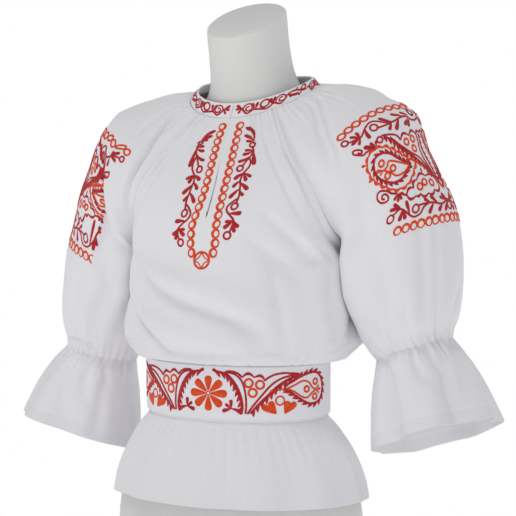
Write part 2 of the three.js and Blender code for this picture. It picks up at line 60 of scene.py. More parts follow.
WAIST = {"x": 119.5, "front": 88.5, "back": 86.5}
BELT = {"low": 267, "high": 333, "lap": 34}
LAP_STEP = (0.25, 0.04)         # radians short of a full turn between which the lap rises
NECK_Y = 55
NECK_LOW = {"x": 86, "front": 77, "back": 62, "z": 672.3}
NECK_TOP = {"x": 77, "front": 65, "back": 51, "z": 684.3}
NECK_RISE = {"slope": 0.263, "bend": 0.00232}
SHOULDER_TILT = 0.045           # the left shoulder stands higher
NECK_OPENING = 0.2              # half of the gap between the neckband's ends
# The slit ends at a row of the front. Its gape opens and closes over shares of its length.
SLIT = {"end": 4, "gape": 1.2, "top": 0.06, "opens": (0.4, 0.85), "closes": (0.93, 1)}
SLIT_BOW = {"by": 0.045, "rows": 4.3, "width": 0.25}   # how far it hangs to one side, across

UNDERARM_ROW = 6
ELASTIC_ROW = 12
BODY_END = 19
FLOUNCE_END = 5
RIGHT_DROP = {"out": 32, "in": 18}      # how much lower the right elastic has slipped
BACK_DRAWN = 0.35               # how much of the "drawn" of a sleeve section its back half takes


def table(columns, rows):
    """Columns by name, each an array with a value for every row."""
    return dict(zip(columns.split(), np.array(rows, float).T))


# The same sections as the solids. FORM: half width, front and back reach, the y of the widest
# point, and the lean of the section.
FORM = table("z x front back mid lean", [
    [0, 152, -94, 108, 5, 0],
    [4, 157, -98, 112, 5, 0],
    [50, 163, -101, 117, 5, 0],
    [105, 166, -103, 120, 5, 0],
    [160, 160, -101, 115, 4, 0],
    [215, 141, -93, 101, 3, 0],
    [238, 123, -88, 90, 1, 0],
    [254, 117.2, -86.2, 84.2, 0, 0],
    [346, 117.2, -86.2, 84.2, 0, 0],
    [366, 121, -87.5, 89, 4, 0],
    [400, 128, -94, 100, 12, 0],
    [440, 132, -95, 111, 18, 0],
    [475, 133, -93, 120, 24, 0],
    [515, 135, -82, 128, 33, 0],
    [545, 142, -72, 131, 39, 0],
    [575, 150, -56, 131, 44, 0],
    [603, 154, -39, 125, 48, 0.05],
    [625, 142, -20, 117, 50, 0.12],
    [640, 116, -12, 111, 51, 0.22],
    [650, 87, -8, 108, 51, 0.3],
    [664, 67, -4, 104, 49, 0.34],
    [688, 55, -5, 97, 45, 0.36],
    [722, 51.5, -14, 86, 36, 0.4],
    [757, 51, -22, 79, 28, 0.45],
    [763, 49, -20, 77, 28, 0.47],
    [765.5, 44, -15, 72, 28, 0.47],
])

# SLEEVE and FLOUNCE: the outermost and innermost point of a section, its middle y, front and back
# reach, how far it runs round in degrees, how far its ends are drawn out along y, how it turns,
# leans and bends with y, and how much less far out the right sleeve reaches.
TUBE_COLUMNS = "outX outZ inX inZ y front back sweep drawn turn lean bend slack"
SLEEVE = table(TUBE_COLUMNS, [
    [86, 672, 55.3, 672, 55, 77, 62, 50, 0, 0, 0.263, 0.00232, 0],
    [122, 674, 80, 644, 54, 82, 75, 56, 18, 0, 0.23, 0.0012, 0],
    [157, 667, 102, 609, 52, 86, 82, 72, 20, 1, 0.19, 0.0003, 2],
    [190, 651, 121, 573, 50, 86, 86, 95, 20, 2, 0.12, 0, 6],
    [218, 628, 133, 534, 48, 85, 85, 118, 17, 4, 0.06, 0, 14],
    [237, 597, 139, 495, 46, 81, 81, 147, 15, 4, 0.02, 0, 15],
    [256, 562, 145, 464, 45, 79, 79, 180, 0, 5, 0, 0, 14],
    [269, 521, 149, 436, 45, 79, 79, 180, 0, 9, 0, 0, 12],
    [276, 477, 151, 410, 45, 79, 79, 180, 0, 10, 0, 0, 8],
    [278, 433, 154, 385, 45, 76, 76, 180, 0, 8, 0, 0, 6],
    [276, 398, 159, 362, 45, 69, 69, 180, 0, 5, 0, 0, 4],
    [269, 377, 169, 344, 45, 57, 57, 180, 0, 3, -0.03, 0, 2],
    [265, 364, 180, 335, 45, 46, 46, 180, 0, 2, -0.06, 0, 0],
])
FLOUNCE = table(TUBE_COLUMNS, [
    [265, 364, 180, 335, 45, 46, 46, 180, 0, 2, -0.06, 0, 0],
    [282, 351, 176, 319, 45, 60, 60, 180, 0, 2, -0.1, 0, 0],
    [297, 333, 174, 296, 45, 69, 69, 180, 0, 2, -0.13, 0, 0],
    [309, 313, 174, 271, 45, 76, 76, 180, 0, 2, -0.16, 0, 0],
    [320, 291, 175, 243, 45, 81, 81, 180, 0, 2, -0.19, 0, 0],
    [330, 268, 177, 214, 45, 85, 85, 180, 0, 2, -0.2, 0, 0],
])
# FRONT and BACK: the middle line of a body panel, and how far its section runs round in degrees.
# SIDE: the side seam, from the underarm down.
FRONT = table("y z sweep", [
    [-22, 638, 40], [-46, 608, 44], [-68, 577, 50], [-86, 545, 58], [-99, 514, 66],
    [-106, 484, 77], [-109, 456, 88], [-109, 430, 90], [-108, 403, 90], [-106, 380, 90],
    [-103, 360, 90], [-98, 347, 90], [-88.5, 338, 90], [-88.5, 332, 90], [-88.5, 268, 90],
    [-88.5, 262, 90], [-98, 240, 90], [-106, 213, 90], [-112, 185, 90], [-116, 160, 90],
])
BACK = table("y z sweep", [
    [117, 679.4, 40], [134, 662, 44], [147, 635, 50], [155, 601, 58], [158, 561, 66],
    [157, 519, 77], [153, 480, 88], [150, 448, 90], [147, 418, 90], [146, 390, 90],
    [142, 364, 90], [124, 348, 90], [86.5, 338, 90], [86.5, 332, 90], [86.5, 268, 90],
    [86.5, 262, 90], [104, 240, 90], [117, 213, 90], [125, 185, 90], [129, 160, 90],
])
SIDE = table("x y z", [
    [145, 45, 464], [143, 44, 440], [143.5, 42, 415], [146, 38, 389], [147, 31, 364],
    [137, 14, 348], [119.5, 0, 338], [119.5, 0, 332], [119.5, 0, 268], [119.5, 0, 262],
    [137, 2, 240], [153, 4, 213], [164, 5, 185], [169, 5, 160],
])

# ---------------------------------------------------------------- small helpers

BELT_FRONT = WAIST["front"] + FIT_GAP + BELT_WALL
belt_low, belt_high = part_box("belt")
SHIFT = np.array([(belt_low[0] + belt_high[0]) * 500, belt_low[1] * 1000 + BELT_FRONT, 0])


def to_row(points):
    """Points of the part's own frame, in metres of the shared frame."""
    return (np.asarray(points) + SHIFT) / 1000


def mix(a, b, t):
    return a + (b - a) * t


def smooth(low, high, x):
    """Smooth step from 0 at low to 1 at high."""
    t = np.clip((x - low) / (high - low), 0, 1)
    return t * t * (3 - 2 * t)


def bell(x):
    return np.exp(-x * x)


def unit(v):
    return v / np.maximum(np.linalg.norm(v, axis=-1, keepdims=True), 1e-9)


def vectors(x, y, z):
    return np.stack(np.broadcast_arrays(x, y, z), axis=-1).astype(float)


def between(x, rise, fall):
    """0, then 1 past the two ends of rise, then 0 again past the two ends of fall."""
    return smooth(*rise, x) * (1 - smooth(*fall, x))


def run_lengths(path):
    """Distance along a path to each of its points."""
    steps = np.linalg.norm(np.diff(path, axis=0), axis=1)
    return np.concatenate([[0], np.cumsum(steps)])


def along_path(path, lengths, at):
    """Points of a plane path at distances along it."""
    return np.stack([np.interp(at, lengths, path[:, k]) for k in (0, 1)], axis=-1)


def curve_weights(t):
    """Catmull-Rom weights of the four points round a span, at shares t of it."""
    return [
        (-t + 2 * t**2 - t**3) / 2,
        (2 - 5 * t**2 + 3 * t**3) / 2,
        (t + 4 * t**2 - 3 * t**3) / 2,
        (-(t**2) + t**3) / 2,
    ]


def section(rows, row):
    """Catmull-Rom value of every column of a table at fractional rows."""
    last = len(next(iter(rows.values()))) - 1
    row = np.asarray(row, float)
    start = np.clip(np.floor(row), 0, last - 1).astype(int)
    near = [np.clip(start + k, 0, last) for k in (-1, 0, 1, 2)]
    weights = curve_weights(row - start)
    return {
        name: sum(w * column[k] for w, k in zip(weights, near))
        for name, column in rows.items()
    }


def arc_share(angle, sweep):
    """How far an angle of a section has come from its outermost line towards its ends."""
    return (1 - np.cos(angle)) / (1 - np.cos(sweep))


# ---------------------------------------------------------------- base surfaces

def tube_point(rows, side, across, row, slip):
    """A point of a sleeve or flounce: across 0 is its outermost line, and -1 and 1 its front and
    back seams. slip is how much of its drop the right one takes."""
    s = section(rows, row)
    sweep = np.radians(s["sweep"])
    angle = across * sweep
    share = arc_share(angle, sweep)
    drawn = np.sign(across) * np.where(across < 0, 1, BACK_DRAWN) * s["drawn"] * share**2
    y = np.where(across < 0, s["front"], s["back"]) * np.sin(angle) + drawn
    out_x = s["outX"] - (s["slack"] if side < 0 else 0)
    drop = slip * mix(RIGHT_DROP["out"], RIGHT_DROP["in"], share) if side < 0 else 0
    return vectors(
        side * (mix(out_x, s["inX"], share) + s["turn"] * np.sin(angle)),
        s["y"] + y,
        mix(s["outZ"], s["inZ"], share) + s["lean"] * y - s["bend"] * y * y - drop,
    )


def tilted(points, row):
    fade = 1 - smooth(UNDERARM_ROW / 2, UNDERARM_ROW + 2, row)
    points[..., 2] += SHOULDER_TILT * fade * points[..., 0]
    return points


SINK_WIDTH = 0.065
SINK_DIRECTION = {"out": -0.25, "facing": -0.9, "up": -0.2}
SINK_DEPTHS = {                 # by row down the raglan seam
    "front": ([0, 0.4, 1.2, 2.4, 3.6, 4.8, 6], [0, 1, 4.5, 9, 7.5, 4, 0]),
    "back": ([0, 0.4, 1.5, 3, 4.6, 6], [0, 0.5, 2, 4, 4, 0]),
}


def armhole_sink(side, facing, across, row):
    """The valley that the cloth forms along a raglan seam, the same on both sides of the seam."""
    depth = np.where(facing < 0, np.interp(row, *SINK_DEPTHS["front"]),
                     np.interp(row, *SINK_DEPTHS["back"]))
    inward = vectors(SINK_DIRECTION["out"] * side, SINK_DIRECTION["facing"] * facing,
                     SINK_DIRECTION["up"])
    return inward * (depth * bell((1 - np.abs(across)) / SINK_WIDTH))[..., None]


def level_sleeve_point(side, across, row):
    return tube_point(SLEEVE, side, across, row, smooth(UNDERARM_ROW, ELASTIC_ROW, row))


def sleeve_point(side, across, row):
    sink = armhole_sink(side, np.sign(across), across, row)
    return tilted(level_sleeve_point(side, across, row), row) + sink


def flounce_point(side, across, row):
    return tube_point(FLOUNCE, side, across, row, 1)


def body_edge(facing, side, row):
    """Edge of a body panel: the raglan seam down to the underarm, then the side seam."""
    top = np.minimum(row, UNDERARM_ROW)
    raglan = np.where(
        (side > 0)[..., None],
        level_sleeve_point(1, np.full_like(row, facing), top),
        level_sleeve_point(-1, np.full_like(row, facing), top),
    )
    s = section(SIDE, np.maximum(row - UNDERARM_ROW, 0))
    seam = vectors(side * s["x"], s["y"], s["z"])
    return np.where((row <= UNDERARM_ROW)[..., None], raglan, seam)


# By row: how much further out than its solid the pouch lies, close to the sleeves.
SIDE_FULLNESS = ([6, 7, 8, 9, 10, 11, 12], [0, 1.5, 3, 4, 8, 11, 0])


def slit_bow(across, row):
    """Slides the middle of the front sideways within its surface, so the slit hangs in a bow."""
    bow = SLIT_BOW["by"] * np.sin(math.pi * np.clip(row / SLIT_BOW["rows"], 0, 1))
    return across + bow * bell(across / SLIT_BOW["width"])


def body_point(facing, across, row):
    if facing < 0:
        across = slit_bow(across, row)
    s = section(FRONT if facing < 0 else BACK, row)
    edge = body_edge(facing, np.where(across < 0, -1.0, 1.0), row)
    sweep = np.radians(s["sweep"])
    angle = np.abs(across) * sweep
    share = arc_share(angle, sweep)
    full = edge[..., 0] + np.sign(edge[..., 0]) * np.interp(row, *SIDE_FULLNESS)
    level = vectors(
        full * np.sin(angle) / np.sin(sweep),
        mix(s["y"], edge[..., 1], share),
        mix(s["z"], edge[..., 2], share),
    )
    return tilted(level, row) + armhole_sink(np.sign(across), facing, across, row)


def band_point(across, row):
    """Outside of the neckband: across runs round the neck from front to front, row 0 is its top."""
    start = NECK_OPENING / NECK_LOW["front"]
    angle = math.pi + across * (math.pi - start)
    at = {name: mix(NECK_TOP[name], NECK_LOW[name], row) for name in NECK_LOW}
    reach = np.where(np.cos(angle) > 0, at["front"], at["back"])
    y = -reach * np.cos(angle)
    x = at["x"] * np.sin(angle)
    z = at["z"] + NECK_RISE["slope"] * y - NECK_RISE["bend"] * y * y + SHOULDER_TILT * x
    return vectors(x, NECK_Y + y, z)


def belt_point(across, row):
    """Outside of the belt: across 0 is the centre front, and past the centre back it laps over."""
    lap = BELT["lap"] / WAIST["back"]
    turned = (1 - across) / 2 * (2 * math.pi + lap)
    start, end = (2 * math.pi - before for before in LAP_STEP)
    step = smooth(start, end, turned) * (BELT_WALL + FIT_GAP)
    gap = FIT_GAP + BELT_WALL + step
    angle = turned - lap / 2
    depth = np.where(np.cos(angle) > 0, WAIST["back"], WAIST["front"]) + gap
    return vectors((WAIST["x"] + gap) * np.sin(angle), depth * np.cos(angle),
                   mix(BELT["high"], BELT["low"], row))


# ---------------------------------------------------------------- gathers, folds and creases

FOLD_ACROSS_MM = 150            # about how long one unit of across and one row are on the cloth
FOLD_ROW_MM = 33
CREASE_GAIN = 1.45              # how much bolder than its table all creases are made
CREASE_ENDS = (0.06, 0.94)      # shares of a half wave that a crease fades in and out by
CREASE_FADE = 0.7
CREASE_SPREAD = (0.75, 1.15)    # width at its start and end over its nominal width
PILE_REACH = 2                  # widths from the middle of a crease at which its lean is full


def crease_height(across, row, points, width, depth, lean=0.0):
    """A crease along points (across, row). Depth above 0 is a ridge and below 0 a trough, and lean
    piles the cloth up on one side of it, as where it folds over."""
    x = across * FOLD_ACROSS_MM
    y = row * FOLD_ROW_MM
    knots = np.array(points, float) * (FOLD_ACROSS_MM, FOLD_ROW_MM)
    lengths = np.linalg.norm(np.diff(knots, axis=0), axis=1)
    best = np.full(np.shape(x), math.inf)
    side = np.zeros(np.shape(x))
    along = np.zeros(np.shape(x))
    for k, (a, b) in enumerate(zip(knots[:-1], knots[1:])):
        run = (b - a) / lengths[k]
        t = np.clip((x - a[0]) * run[0] + (y - a[1]) * run[1], 0, lengths[k])
        away = np.hypot(x - a[0] - t * run[0], y - a[1] - t * run[1])
        nearer = away < best
        best = np.where(nearer, away, best)
        side = np.where(nearer, (x - a[0]) * run[1] - (y - a[1]) * run[0], side)
        along = np.where(nearer, lengths[:k].sum() + t, along)
    share = along / lengths.sum()
    fade = np.sin(math.pi * mix(*CREASE_ENDS, share)) ** CREASE_FADE
    spread = width * mix(*CREASE_SPREAD, share)
    pile = lean * np.clip(side / spread, -PILE_REACH, PILE_REACH)
    return CREASE_GAIN * fade * bell(best / spread) * (depth + pile)


def creases_height(creases, across, row):
    return sum((crease_height(across, row, *c) for c in creases), np.zeros(np.shape(across)))


GATHER_ROUNDNESS = 0.75
UNEVEN_WAVES = ((5.1, 1), (11, 2), (23, 3.3))       # (waves across, times the seed)
# Neck gathers: how many rows they reach, how soon they start to fade, how they wander sideways,
# how their depth varies, and the finer gathers between them.
NECK = {"reach": 1.9, "reach_varies": 1.6, "full": 0.05, "reach_pitch": 1.3, "sway": 2.2,
        "drift": 0.5, "drift_pitch": 0.7, "depth_varies": 0.8,
        "fine": 0.6, "fine_pitch": 1.9, "fine_rows": (0.2, 1.2)}


def gather_wave(phase):
    """Round ridges with narrow troughs between them, from -1 to 1."""
    return 2 * np.abs(np.sin(phase / 2)) ** GATHER_ROUNDNESS - 1


def uneven(across, seed):
    """Slow wander from -1 to 1 that makes gathers differ from each other."""
    waves = [np.sin(pitch * across + share * seed) for pitch, share in UNEVEN_WAVES]
    return sum(waves) / len(waves)


def neck_gathers(count, depth, seed, across, row):
    wander = uneven(NECK["reach_pitch"] * across, seed)
    reach = NECK["reach"] + NECK["reach_varies"] * wander
    fade = 1 - smooth(NECK["full"] * reach, reach, row)
    drift = NECK["drift"] * row * uneven(NECK["drift_pitch"] * across, seed + 1)
    phase = count * math.pi * across + NECK["sway"] * uneven(across, seed + 2) + drift
    fine = NECK["fine"] * gather_wave(NECK["fine_pitch"] * phase + seed)
    fine = fine * (1 - smooth(*NECK["fine_rows"], row))
    return depth * (1 + NECK["depth_varies"] * wander) * fade * (gather_wave(phase) + fine)


# Finer creases than the solids have, as crease_height takes them: (across, row) points, width,
# depth and lean in millimetres. On the body, across -1 is the wearer's right side seam.
FRONT_CREASES = [
    ([(-0.78, 1), (-0.84, 3), (-0.86, 4.6)], 7, -3, 1.2),
    ([(-0.66, 0.8), (-0.72, 2.4), (-0.76, 4)], 5, -1.8, 0.8),
    ([(-0.9, 2.6), (-0.93, 4.4), (-0.9, 6)], 6, -3, 1),
    ([(-0.46, 6), (-0.22, 6.6), (0.06, 7.2), (0.28, 7.9)], 20, 7),
    ([(-0.54, 6.6), (-0.3, 7.4), (0.0, 8), (0.17, 8.6), (0.26, 9.4), (0.3, 10.6)], 13, -6, -3),
    ([(-0.44, 8.5), (-0.2, 9.1), (0.08, 9.7)], 20, 7),
    ([(-0.86, 6.6), (-0.74, 8), (-0.66, 9.4)], 10, -3.4, -1),
    ([(-0.7, 8), (-0.56, 9), (-0.34, 9.8), (-0.22, 11.2)], 6, -3.6, -2),
    ([(-0.9, 8.4), (-0.78, 9.6), (-0.62, 10.8)], 6, -3, -1.2),
    ([(0.5, 4), (0.58, 4.6), (0.65, 5.2), (0.61, 6.2)], 8, -3.2, 1.4),
    ([(0.34, 4.8), (0.42, 5.4), (0.48, 6.2), (0.58, 7)], 11, -3.4, 2),
    ([(0.38, 5.8), (0.4, 6.8), (0.42, 8), (0.43, 9.6), (0.42, 10.8)], 7, -2.8, -1.2),
    ([(0.74, 5.4), (0.7, 6.6), (0.7, 8.2), (0.72, 10.4)], 8, -3.6, -1.8),
    ([(0.94, 4.6), (0.87, 5.8), (0.88, 7.2), (0.95, 8.8)], 8, -5, -1.6),
    ([(0.92, 8.4), (0.82, 10.4)], 6, -3.4, -1.4),
    ([(0.83, 9.2), (0.74, 10.9)], 5, -2.6, -1),
    ([(0.18, 11.5), (0.27, 11), (0.36, 10.9), (0.46, 11.2)], 4.5, 2.6, -1.5),
    ([(0.87, 1.4), (0.9, 2.6), (0.91, 3.6), (0.93, 4.5)], 4.2, -4.4, -2.4),
    ([(0.62, 0.8), (0.7, 2.6), (0.76, 4.4)], 5, -2, -1),
    ([(-0.2, 4.9), (-0.18, 6.4)], 12, -1.6),
]
BACK_CREASES = [
    ([(-0.82, 1.2), (-0.86, 3), (-0.88, 4.8)], 7, -3, 1),
    ([(0.8, 1.4), (0.84, 3), (0.86, 4.6)], 7, -3, -1),
    ([(-0.62, 1), (-0.68, 2.6), (-0.7, 4.4)], 6, -2.2, 0.8),
    ([(0.6, 1), (0.64, 2.4), (0.7, 4)], 6, -2.2, -0.8),
    ([(-0.34, 2.4), (-0.38, 5), (-0.42, 7.6)], 10, -3.4, 0.8),
    ([(0.3, 2.6), (0.34, 5), (0.36, 8)], 10, -3.4, -0.8),
    ([(-0.62, 6.2), (-0.46, 8.6), (-0.34, 10.5)], 9, -4, 1.4),
    ([(0.62, 6), (0.52, 8.4), (0.42, 10.5)], 9, -4, -1.4),
    ([(-0.1, 7), (-0.04, 9), (0.02, 10.7)], 9, 2.4),
    ([(-0.86, 6.8), (-0.78, 8.8), (-0.66, 10.5)], 7, -3, 1),
    ([(0.84, 7), (0.78, 9), (0.7, 10.6)], 7, -3, -1),
    ([(0.16, 5.4), (0.2, 8), (0.16, 10.3)], 8, -2.2),
]
# Sleeves and flounces: across below 0 is the front.
SLEEVE_BACK_CREASES = [
    ([(0.8, 1), (0.84, 2.8), (0.84, 4.6)], 6.5, -3, -1.2),
    ([(0.6, 0.8), (0.64, 2.2), (0.62, 3.6)], 5, -1.8, -0.6),
    ([(0.24, 6.2), (0.22, 8.4), (0.2, 10.8)], 9, -3, -1),
    ([(0.42, 7.4), (0.36, 9.2), (0.34, 11)], 6, -2.2, -0.6),
    ([(0.6, 6.4), (0.52, 8.6), (0.44, 10.8)], 9, -3.4, -1.2),
    ([(0.84, 6.4), (0.74, 8.8), (0.66, 10.9)], 8, -3, -1),
]
SLEEVE_CREASES = {
    1: SLEEVE_BACK_CREASES + [
        ([(-0.36, 0.1), (-0.62, 1.4), (-0.7, 2.4), (-0.72, 3.8)], 4, -2.4, 1),
        ([(-0.58, 0.3), (-0.76, 1.9), (-0.8, 3.4)], 4, -2.2, 0.8),
        ([(-0.14, 0.1), (-0.36, 1.3)], 4, -1.6, 0.6),
        ([(-0.58, 5.6), (-0.53, 6.8), (-0.46, 7.7), (-0.46, 9), (-0.48, 11)], 9, -3.8, 1.2),
        ([(-0.72, 5.4), (-0.7, 7.4), (-0.66, 9.2)], 11, 2.6, 1),
        ([(-0.24, 6.8), (-0.25, 8.9), (-0.28, 11)], 7, -3.6, -1.4),
        ([(-0.14, 6.9), (-0.16, 9.4), (-0.19, 11)], 5, -3, 1),
        ([(-0.06, 7), (-0.08, 9), (-0.11, 10.8)], 5, -2.4, -1),
        ([(-0.36, 8.8), (-0.37, 10), (-0.37, 11.2)], 5, -1.8, 0.8),
        ([(-0.68, 9.2), (-0.56, 10.2), (-0.58, 11.6)], 5, -3.2, -1.6),
        ([(0.06, 8.8), (-0.02, 9.8), (-0.05, 11)], 5, -2.4, 1),
    ],
    -1: SLEEVE_BACK_CREASES + [
        ([(-0.66, 0.6), (-0.8, 1.3), (-0.87, 1.9), (-0.91, 2.8), (-0.92, 4)], 5, -8, 3),
        ([(-0.52, 4), (-0.57, 4.7), (-0.61, 5.2), (-0.58, 6.1), (-0.55, 7.3)], 5, -4.5, 2.2),
        ([(-0.5, 0.4), (-0.6, 1.4), (-0.64, 2.4)], 4, -1.6, 0.6),
        ([(-0.62, 6.2), (-0.61, 7.5), (-0.66, 8.2), (-0.59, 9), (-0.54, 10.8)], 10, -4, 1.6),
        ([(-0.84, 6.2), (-0.8, 7.6), (-0.76, 9.4), (-0.7, 11)], 10, -3.6, 1.4),
        ([(-0.24, 10.8), (-0.42, 10.6), (-0.56, 10.8), (-0.64, 11.6)], 6, -3, -1.8),
        ([(-0.4, 7.8), (-0.38, 9.4), (-0.36, 10.6)], 8, -2.6, 1),
        ([(-0.16, 7.4), (-0.17, 9.2), (-0.16, 11)], 7, -2.2, -0.8),
    ],
}
FLOUNCE_BACK_CREASES = [
    ([(0.16, 0.2), (0.2, 2), (0.2, 4)], 6, -2.6, 1),
    ([(0.42, 0.2), (0.45, 2.4), (0.44, 5.6)], 8, -4.6, -1),
    ([(0.68, 0.2), (0.72, 2), (0.74, 3.6)], 6, -2.8, 1),
]
FLOUNCE_CREASES = {
    1: FLOUNCE_BACK_CREASES + [
        ([(-0.42, 0.1), (-0.41, 1.5), (-0.37, 2.6)], 4.5, -3, 1),
        ([(-0.34, 0.1), (-0.26, 2.2), (-0.28, 3.8), (-0.28, 6)], 7, -4.5, -1.2),
        ([(-0.06, 0.1), (-0.13, 2.6), (-0.16, 4), (-0.17, 6.5)], 10, -7, 0.8),
        ([(-0.2, 0.1), (-0.2, 1.6), (-0.22, 2.6)], 4, -2.2, 1),
        ([(-0.66, 0.1), (-0.63, 2.6), (-0.64, 6.2)], 8, -6, 2),
    ],
    -1: FLOUNCE_BACK_CREASES + [
        ([(-0.44, 0.1), (-0.46, 2.2), (-0.5, 4.6)], 8, -3.6, 1),
        ([(-0.58, 0.1), (-0.62, 2.2), (-0.66, 3.4)], 6, -3.4, -1),
        ([(-0.68, 0.1), (-0.74, 1.4), (-0.76, 2.2)], 5, -3, 1),
        ([(-0.73, 1.8), (-0.73, 3.4), (-0.72, 5)], 7, -3, 1),
        ([(-0.26, 0.1), (-0.3, 2), (-0.3, 4.4)], 7, -3, -1),
    ],
}

# Fullness: (rows, how far the cloth lies off its solid there), and the line of across that it
# follows, with its width. POUCH and PUFF lie at the sides of a body panel and of a sleeve.
POUCH = {"off": ([3.5, 5, 6.4, 8.5, 10, 11.3], [0, 6, 11, 15, 11, 0]), "line": 0.72, "width": 0.13}
PUFF = {"off": ([3.5, 5, 6.5, 8, 9.4, 10.5], [0, 8, 14, 12, 3, 0]), "line": 0.77, "width": 0.12}
OUTLINE = {                     # along the outermost line of each sleeve
    1: {"off": ([2.2, 2.7, 3.3, 3.8, 4.2, 4.6, 5, 5.9, 6.3, 6.9],
                [0, -3, 1, 2.5, -1.5, -4, -6, -6, -2.5, 0]), "line": 0.14, "width": 0.36},
    -1: {"off": ([1.8, 2.4, 3, 3.5, 4, 4.5, 4.9, 5.3, 5.8, 7.1, 7.6, 8.1, 8.6, 9.4, 11],
                 [0, 3.5, 8, 7, 6, 3.5, 1, -2.5, -5, -6, -4.5, -1, 0, 2, 0]),
         "line": -0.17, "width": 0.36},
}
SEEDS = {"front": 0.4, "back": 2.1, "sleeve": {1: 3.7, -1: 1.3}, "flounce": {1: 2.2, -1: 0.8}}
NECK_DEPTH = {"front": 1.05, "back": 1.1, "sleeve": 0.95}
BODY_GATHERS = 22
SLEEVE_GATHERS = 25
FLAT_MIDDLE = (0.3, 0.46)       # across: the front has no gathers between the slit's vines
CREASES_END = {"body": (11.2, 12), "sleeve": (11, 12)}      # rows over which creases die out
# Tucks that the belt presses into the body, by row, over its top and under its bottom.
TUCKS = {"above": ((10, 11.2), (11.4, 12)), "below": ((15, 15.6), (16, 18.4)),
         "depth": 0.8, "least": 0.6, "pitch": 1.35, "sway": 1.5}
BELT_HOLD = ((11, 12), (15, 16))        # rows over which the belt takes hold and lets go
OVERHANG = {"by": 8, "row": 11.45, "width": 0.34}       # of the pouch over the top of the belt
TAIL = {"depth": 3, "pleats": 6, "rows": (15.2, 18)}
# The elastic: its casing swells out of the waist between the puffs, with gathers on both sides.
ELASTIC = {"gathers": 33, "depth": 1.5, "depth_varies": 0.5, "sway": 2.4,
           "fine": 0.4, "fine_pitch": 1.7, "swell": 2.6}
ELASTIC_ABOVE = {"reach": 9.4, "varies": 1.2, "pitch": 1.7, "width": 0.55}
ELASTIC_BELOW = {"reach": 1.9, "varies": 0.9, "full": 0.25, "width": 0.5}
HEM = {"waves": 6, "depth": 7, "varies": 0.3, "sway": 0.6, "second": 0.25, "start": 0.3,
       "stitch_row": 4.38, "stitch_width": 0.03,
       "step": 0.35}            # how far the doubled hem stands out
SIDE_FADE = 0.07                # across: next to a sewn edge the gathers fade over this much
SEAM_DIP = {"depth": 0.15, "width": 0.009}
CRINKLE = {"body": 0.16, "sleeve": 0.2}


def at_seam(across):
    return smooth(0, SIDE_FADE, 1 - np.abs(across))


def seam_dip(across):
    """The narrow groove along a sewn edge."""
    return -SEAM_DIP["depth"] * bell((1 - np.abs(across)) / SEAM_DIP["width"])


def fullness(soft, across, row):
    return np.interp(row, *soft["off"]) * bell((across - soft["line"]) / soft["width"])


def crinkle(across, row, seed, size):
    """Light crumpling of worn cotton: a broad pattern of crossed waves, size millimetres high, and
    a finer one. The lengths of the waves, in millimetres, aren't multiples of each other."""
    x = across * FOLD_ACROSS_MM
    y = row * FOLD_ROW_MM
    broad = (np.sin(x / 13 + 1.7 * np.sin(y / 31 + seed) + seed)
             * np.sin(y / 17 + 1.3 * np.sin(x / 23 + seed)))
    fine = np.sin(x / 6.1 + 2 * np.sin(y / 19 + seed)) * np.sin(y / 8.3 + np.sin(x / 11))
    return size * (broad + 0.6 * fine)


def body_tucks(across, row, seed):
    above = between(row, *TUCKS["above"]) * (TUCKS["least"] + uneven(across, seed))
    below = between(row, *TUCKS["below"])
    phase = TUCKS["pitch"] * BODY_GATHERS * math.pi * across + TUCKS["sway"] * uneven(across, seed)
    return TUCKS["depth"] * (above + below) * gather_wave(phase)


def body_height(facing, across, row):
    panel = "front" if facing < 0 else "back"
    seed = SEEDS[panel]
    flat_middle = smooth(*FLAT_MIDDLE, np.abs(across)) if facing < 0 else 1.0
    creases = FRONT_CREASES if facing < 0 else BACK_CREASES
    overhang = OVERHANG["by"] * bell((row - OVERHANG["row"]) / OVERHANG["width"])
    pleats = np.cos(TAIL["pleats"] * math.pi * across + seed)
    tail = smooth(*TAIL["rows"], row) * TAIL["depth"] * pleats
    gathers = neck_gathers(BODY_GATHERS, NECK_DEPTH[panel], seed, across, row) * flat_middle
    soft = creases_height(creases, across, row) * (1 - smooth(*CREASES_END["body"], row))
    soft += fullness(POUCH, np.abs(across), row) + body_tucks(across, row, seed) + tail
    loose = 1 - between(row, *BELT_HOLD)
    calm = crinkle(across, row, seed, CRINKLE["body"]) * loose * flat_middle
    return at_seam(across) * (gathers + soft + calm) + overhang + seam_dip(across)


def elastic_height(across, side):
    phase = ELASTIC["gathers"] * math.pi * across + ELASTIC["sway"] * uneven(across, side)
    fine = ELASTIC["fine"] * gather_wave(ELASTIC["fine_pitch"] * phase + side)
    varied = 1 + ELASTIC["depth_varies"] * uneven(across, side + 1)
    return ELASTIC["depth"] * varied * (gather_wave(phase) + fine)


def sleeve_height(side, across, row):
    seed = SEEDS["sleeve"][side]
    gathers = neck_gathers(SLEEVE_GATHERS, NECK_DEPTH["sleeve"], seed, across, row)
    soft = creases_height(SLEEVE_CREASES[side], across, row)
    soft *= 1 - smooth(*CREASES_END["sleeve"], row)
    soft += fullness(PUFF, np.abs(across), row) + fullness(OUTLINE[side], across, row)
    edge = ELASTIC_ABOVE
    reach = edge["reach"] + edge["varies"] * uneven(edge["pitch"] * across, seed)
    elastic = elastic_height(across, side) * smooth(reach, ELASTIC_ROW, row)
    elastic += ELASTIC["swell"] * bell((ELASTIC_ROW - row) / edge["width"])
    calm = crinkle(across, row, seed, CRINKLE["sleeve"])
    return at_seam(across) * (gathers + soft + elastic + calm) + seam_dip(across)


def hem_waves(across, row, seed):
    varied = 1 + HEM["varies"] * np.sin(math.pi * across + seed)
    sway = HEM["sway"] * np.sin(2 * math.pi * across)
    phase = HEM["waves"] * math.pi * across + seed + sway
    wave = np.cos(phase) - HEM["second"] * np.cos(2 * phase)
    return HEM["depth"] * varied * smooth(HEM["start"], FLOUNCE_END, row) * wave


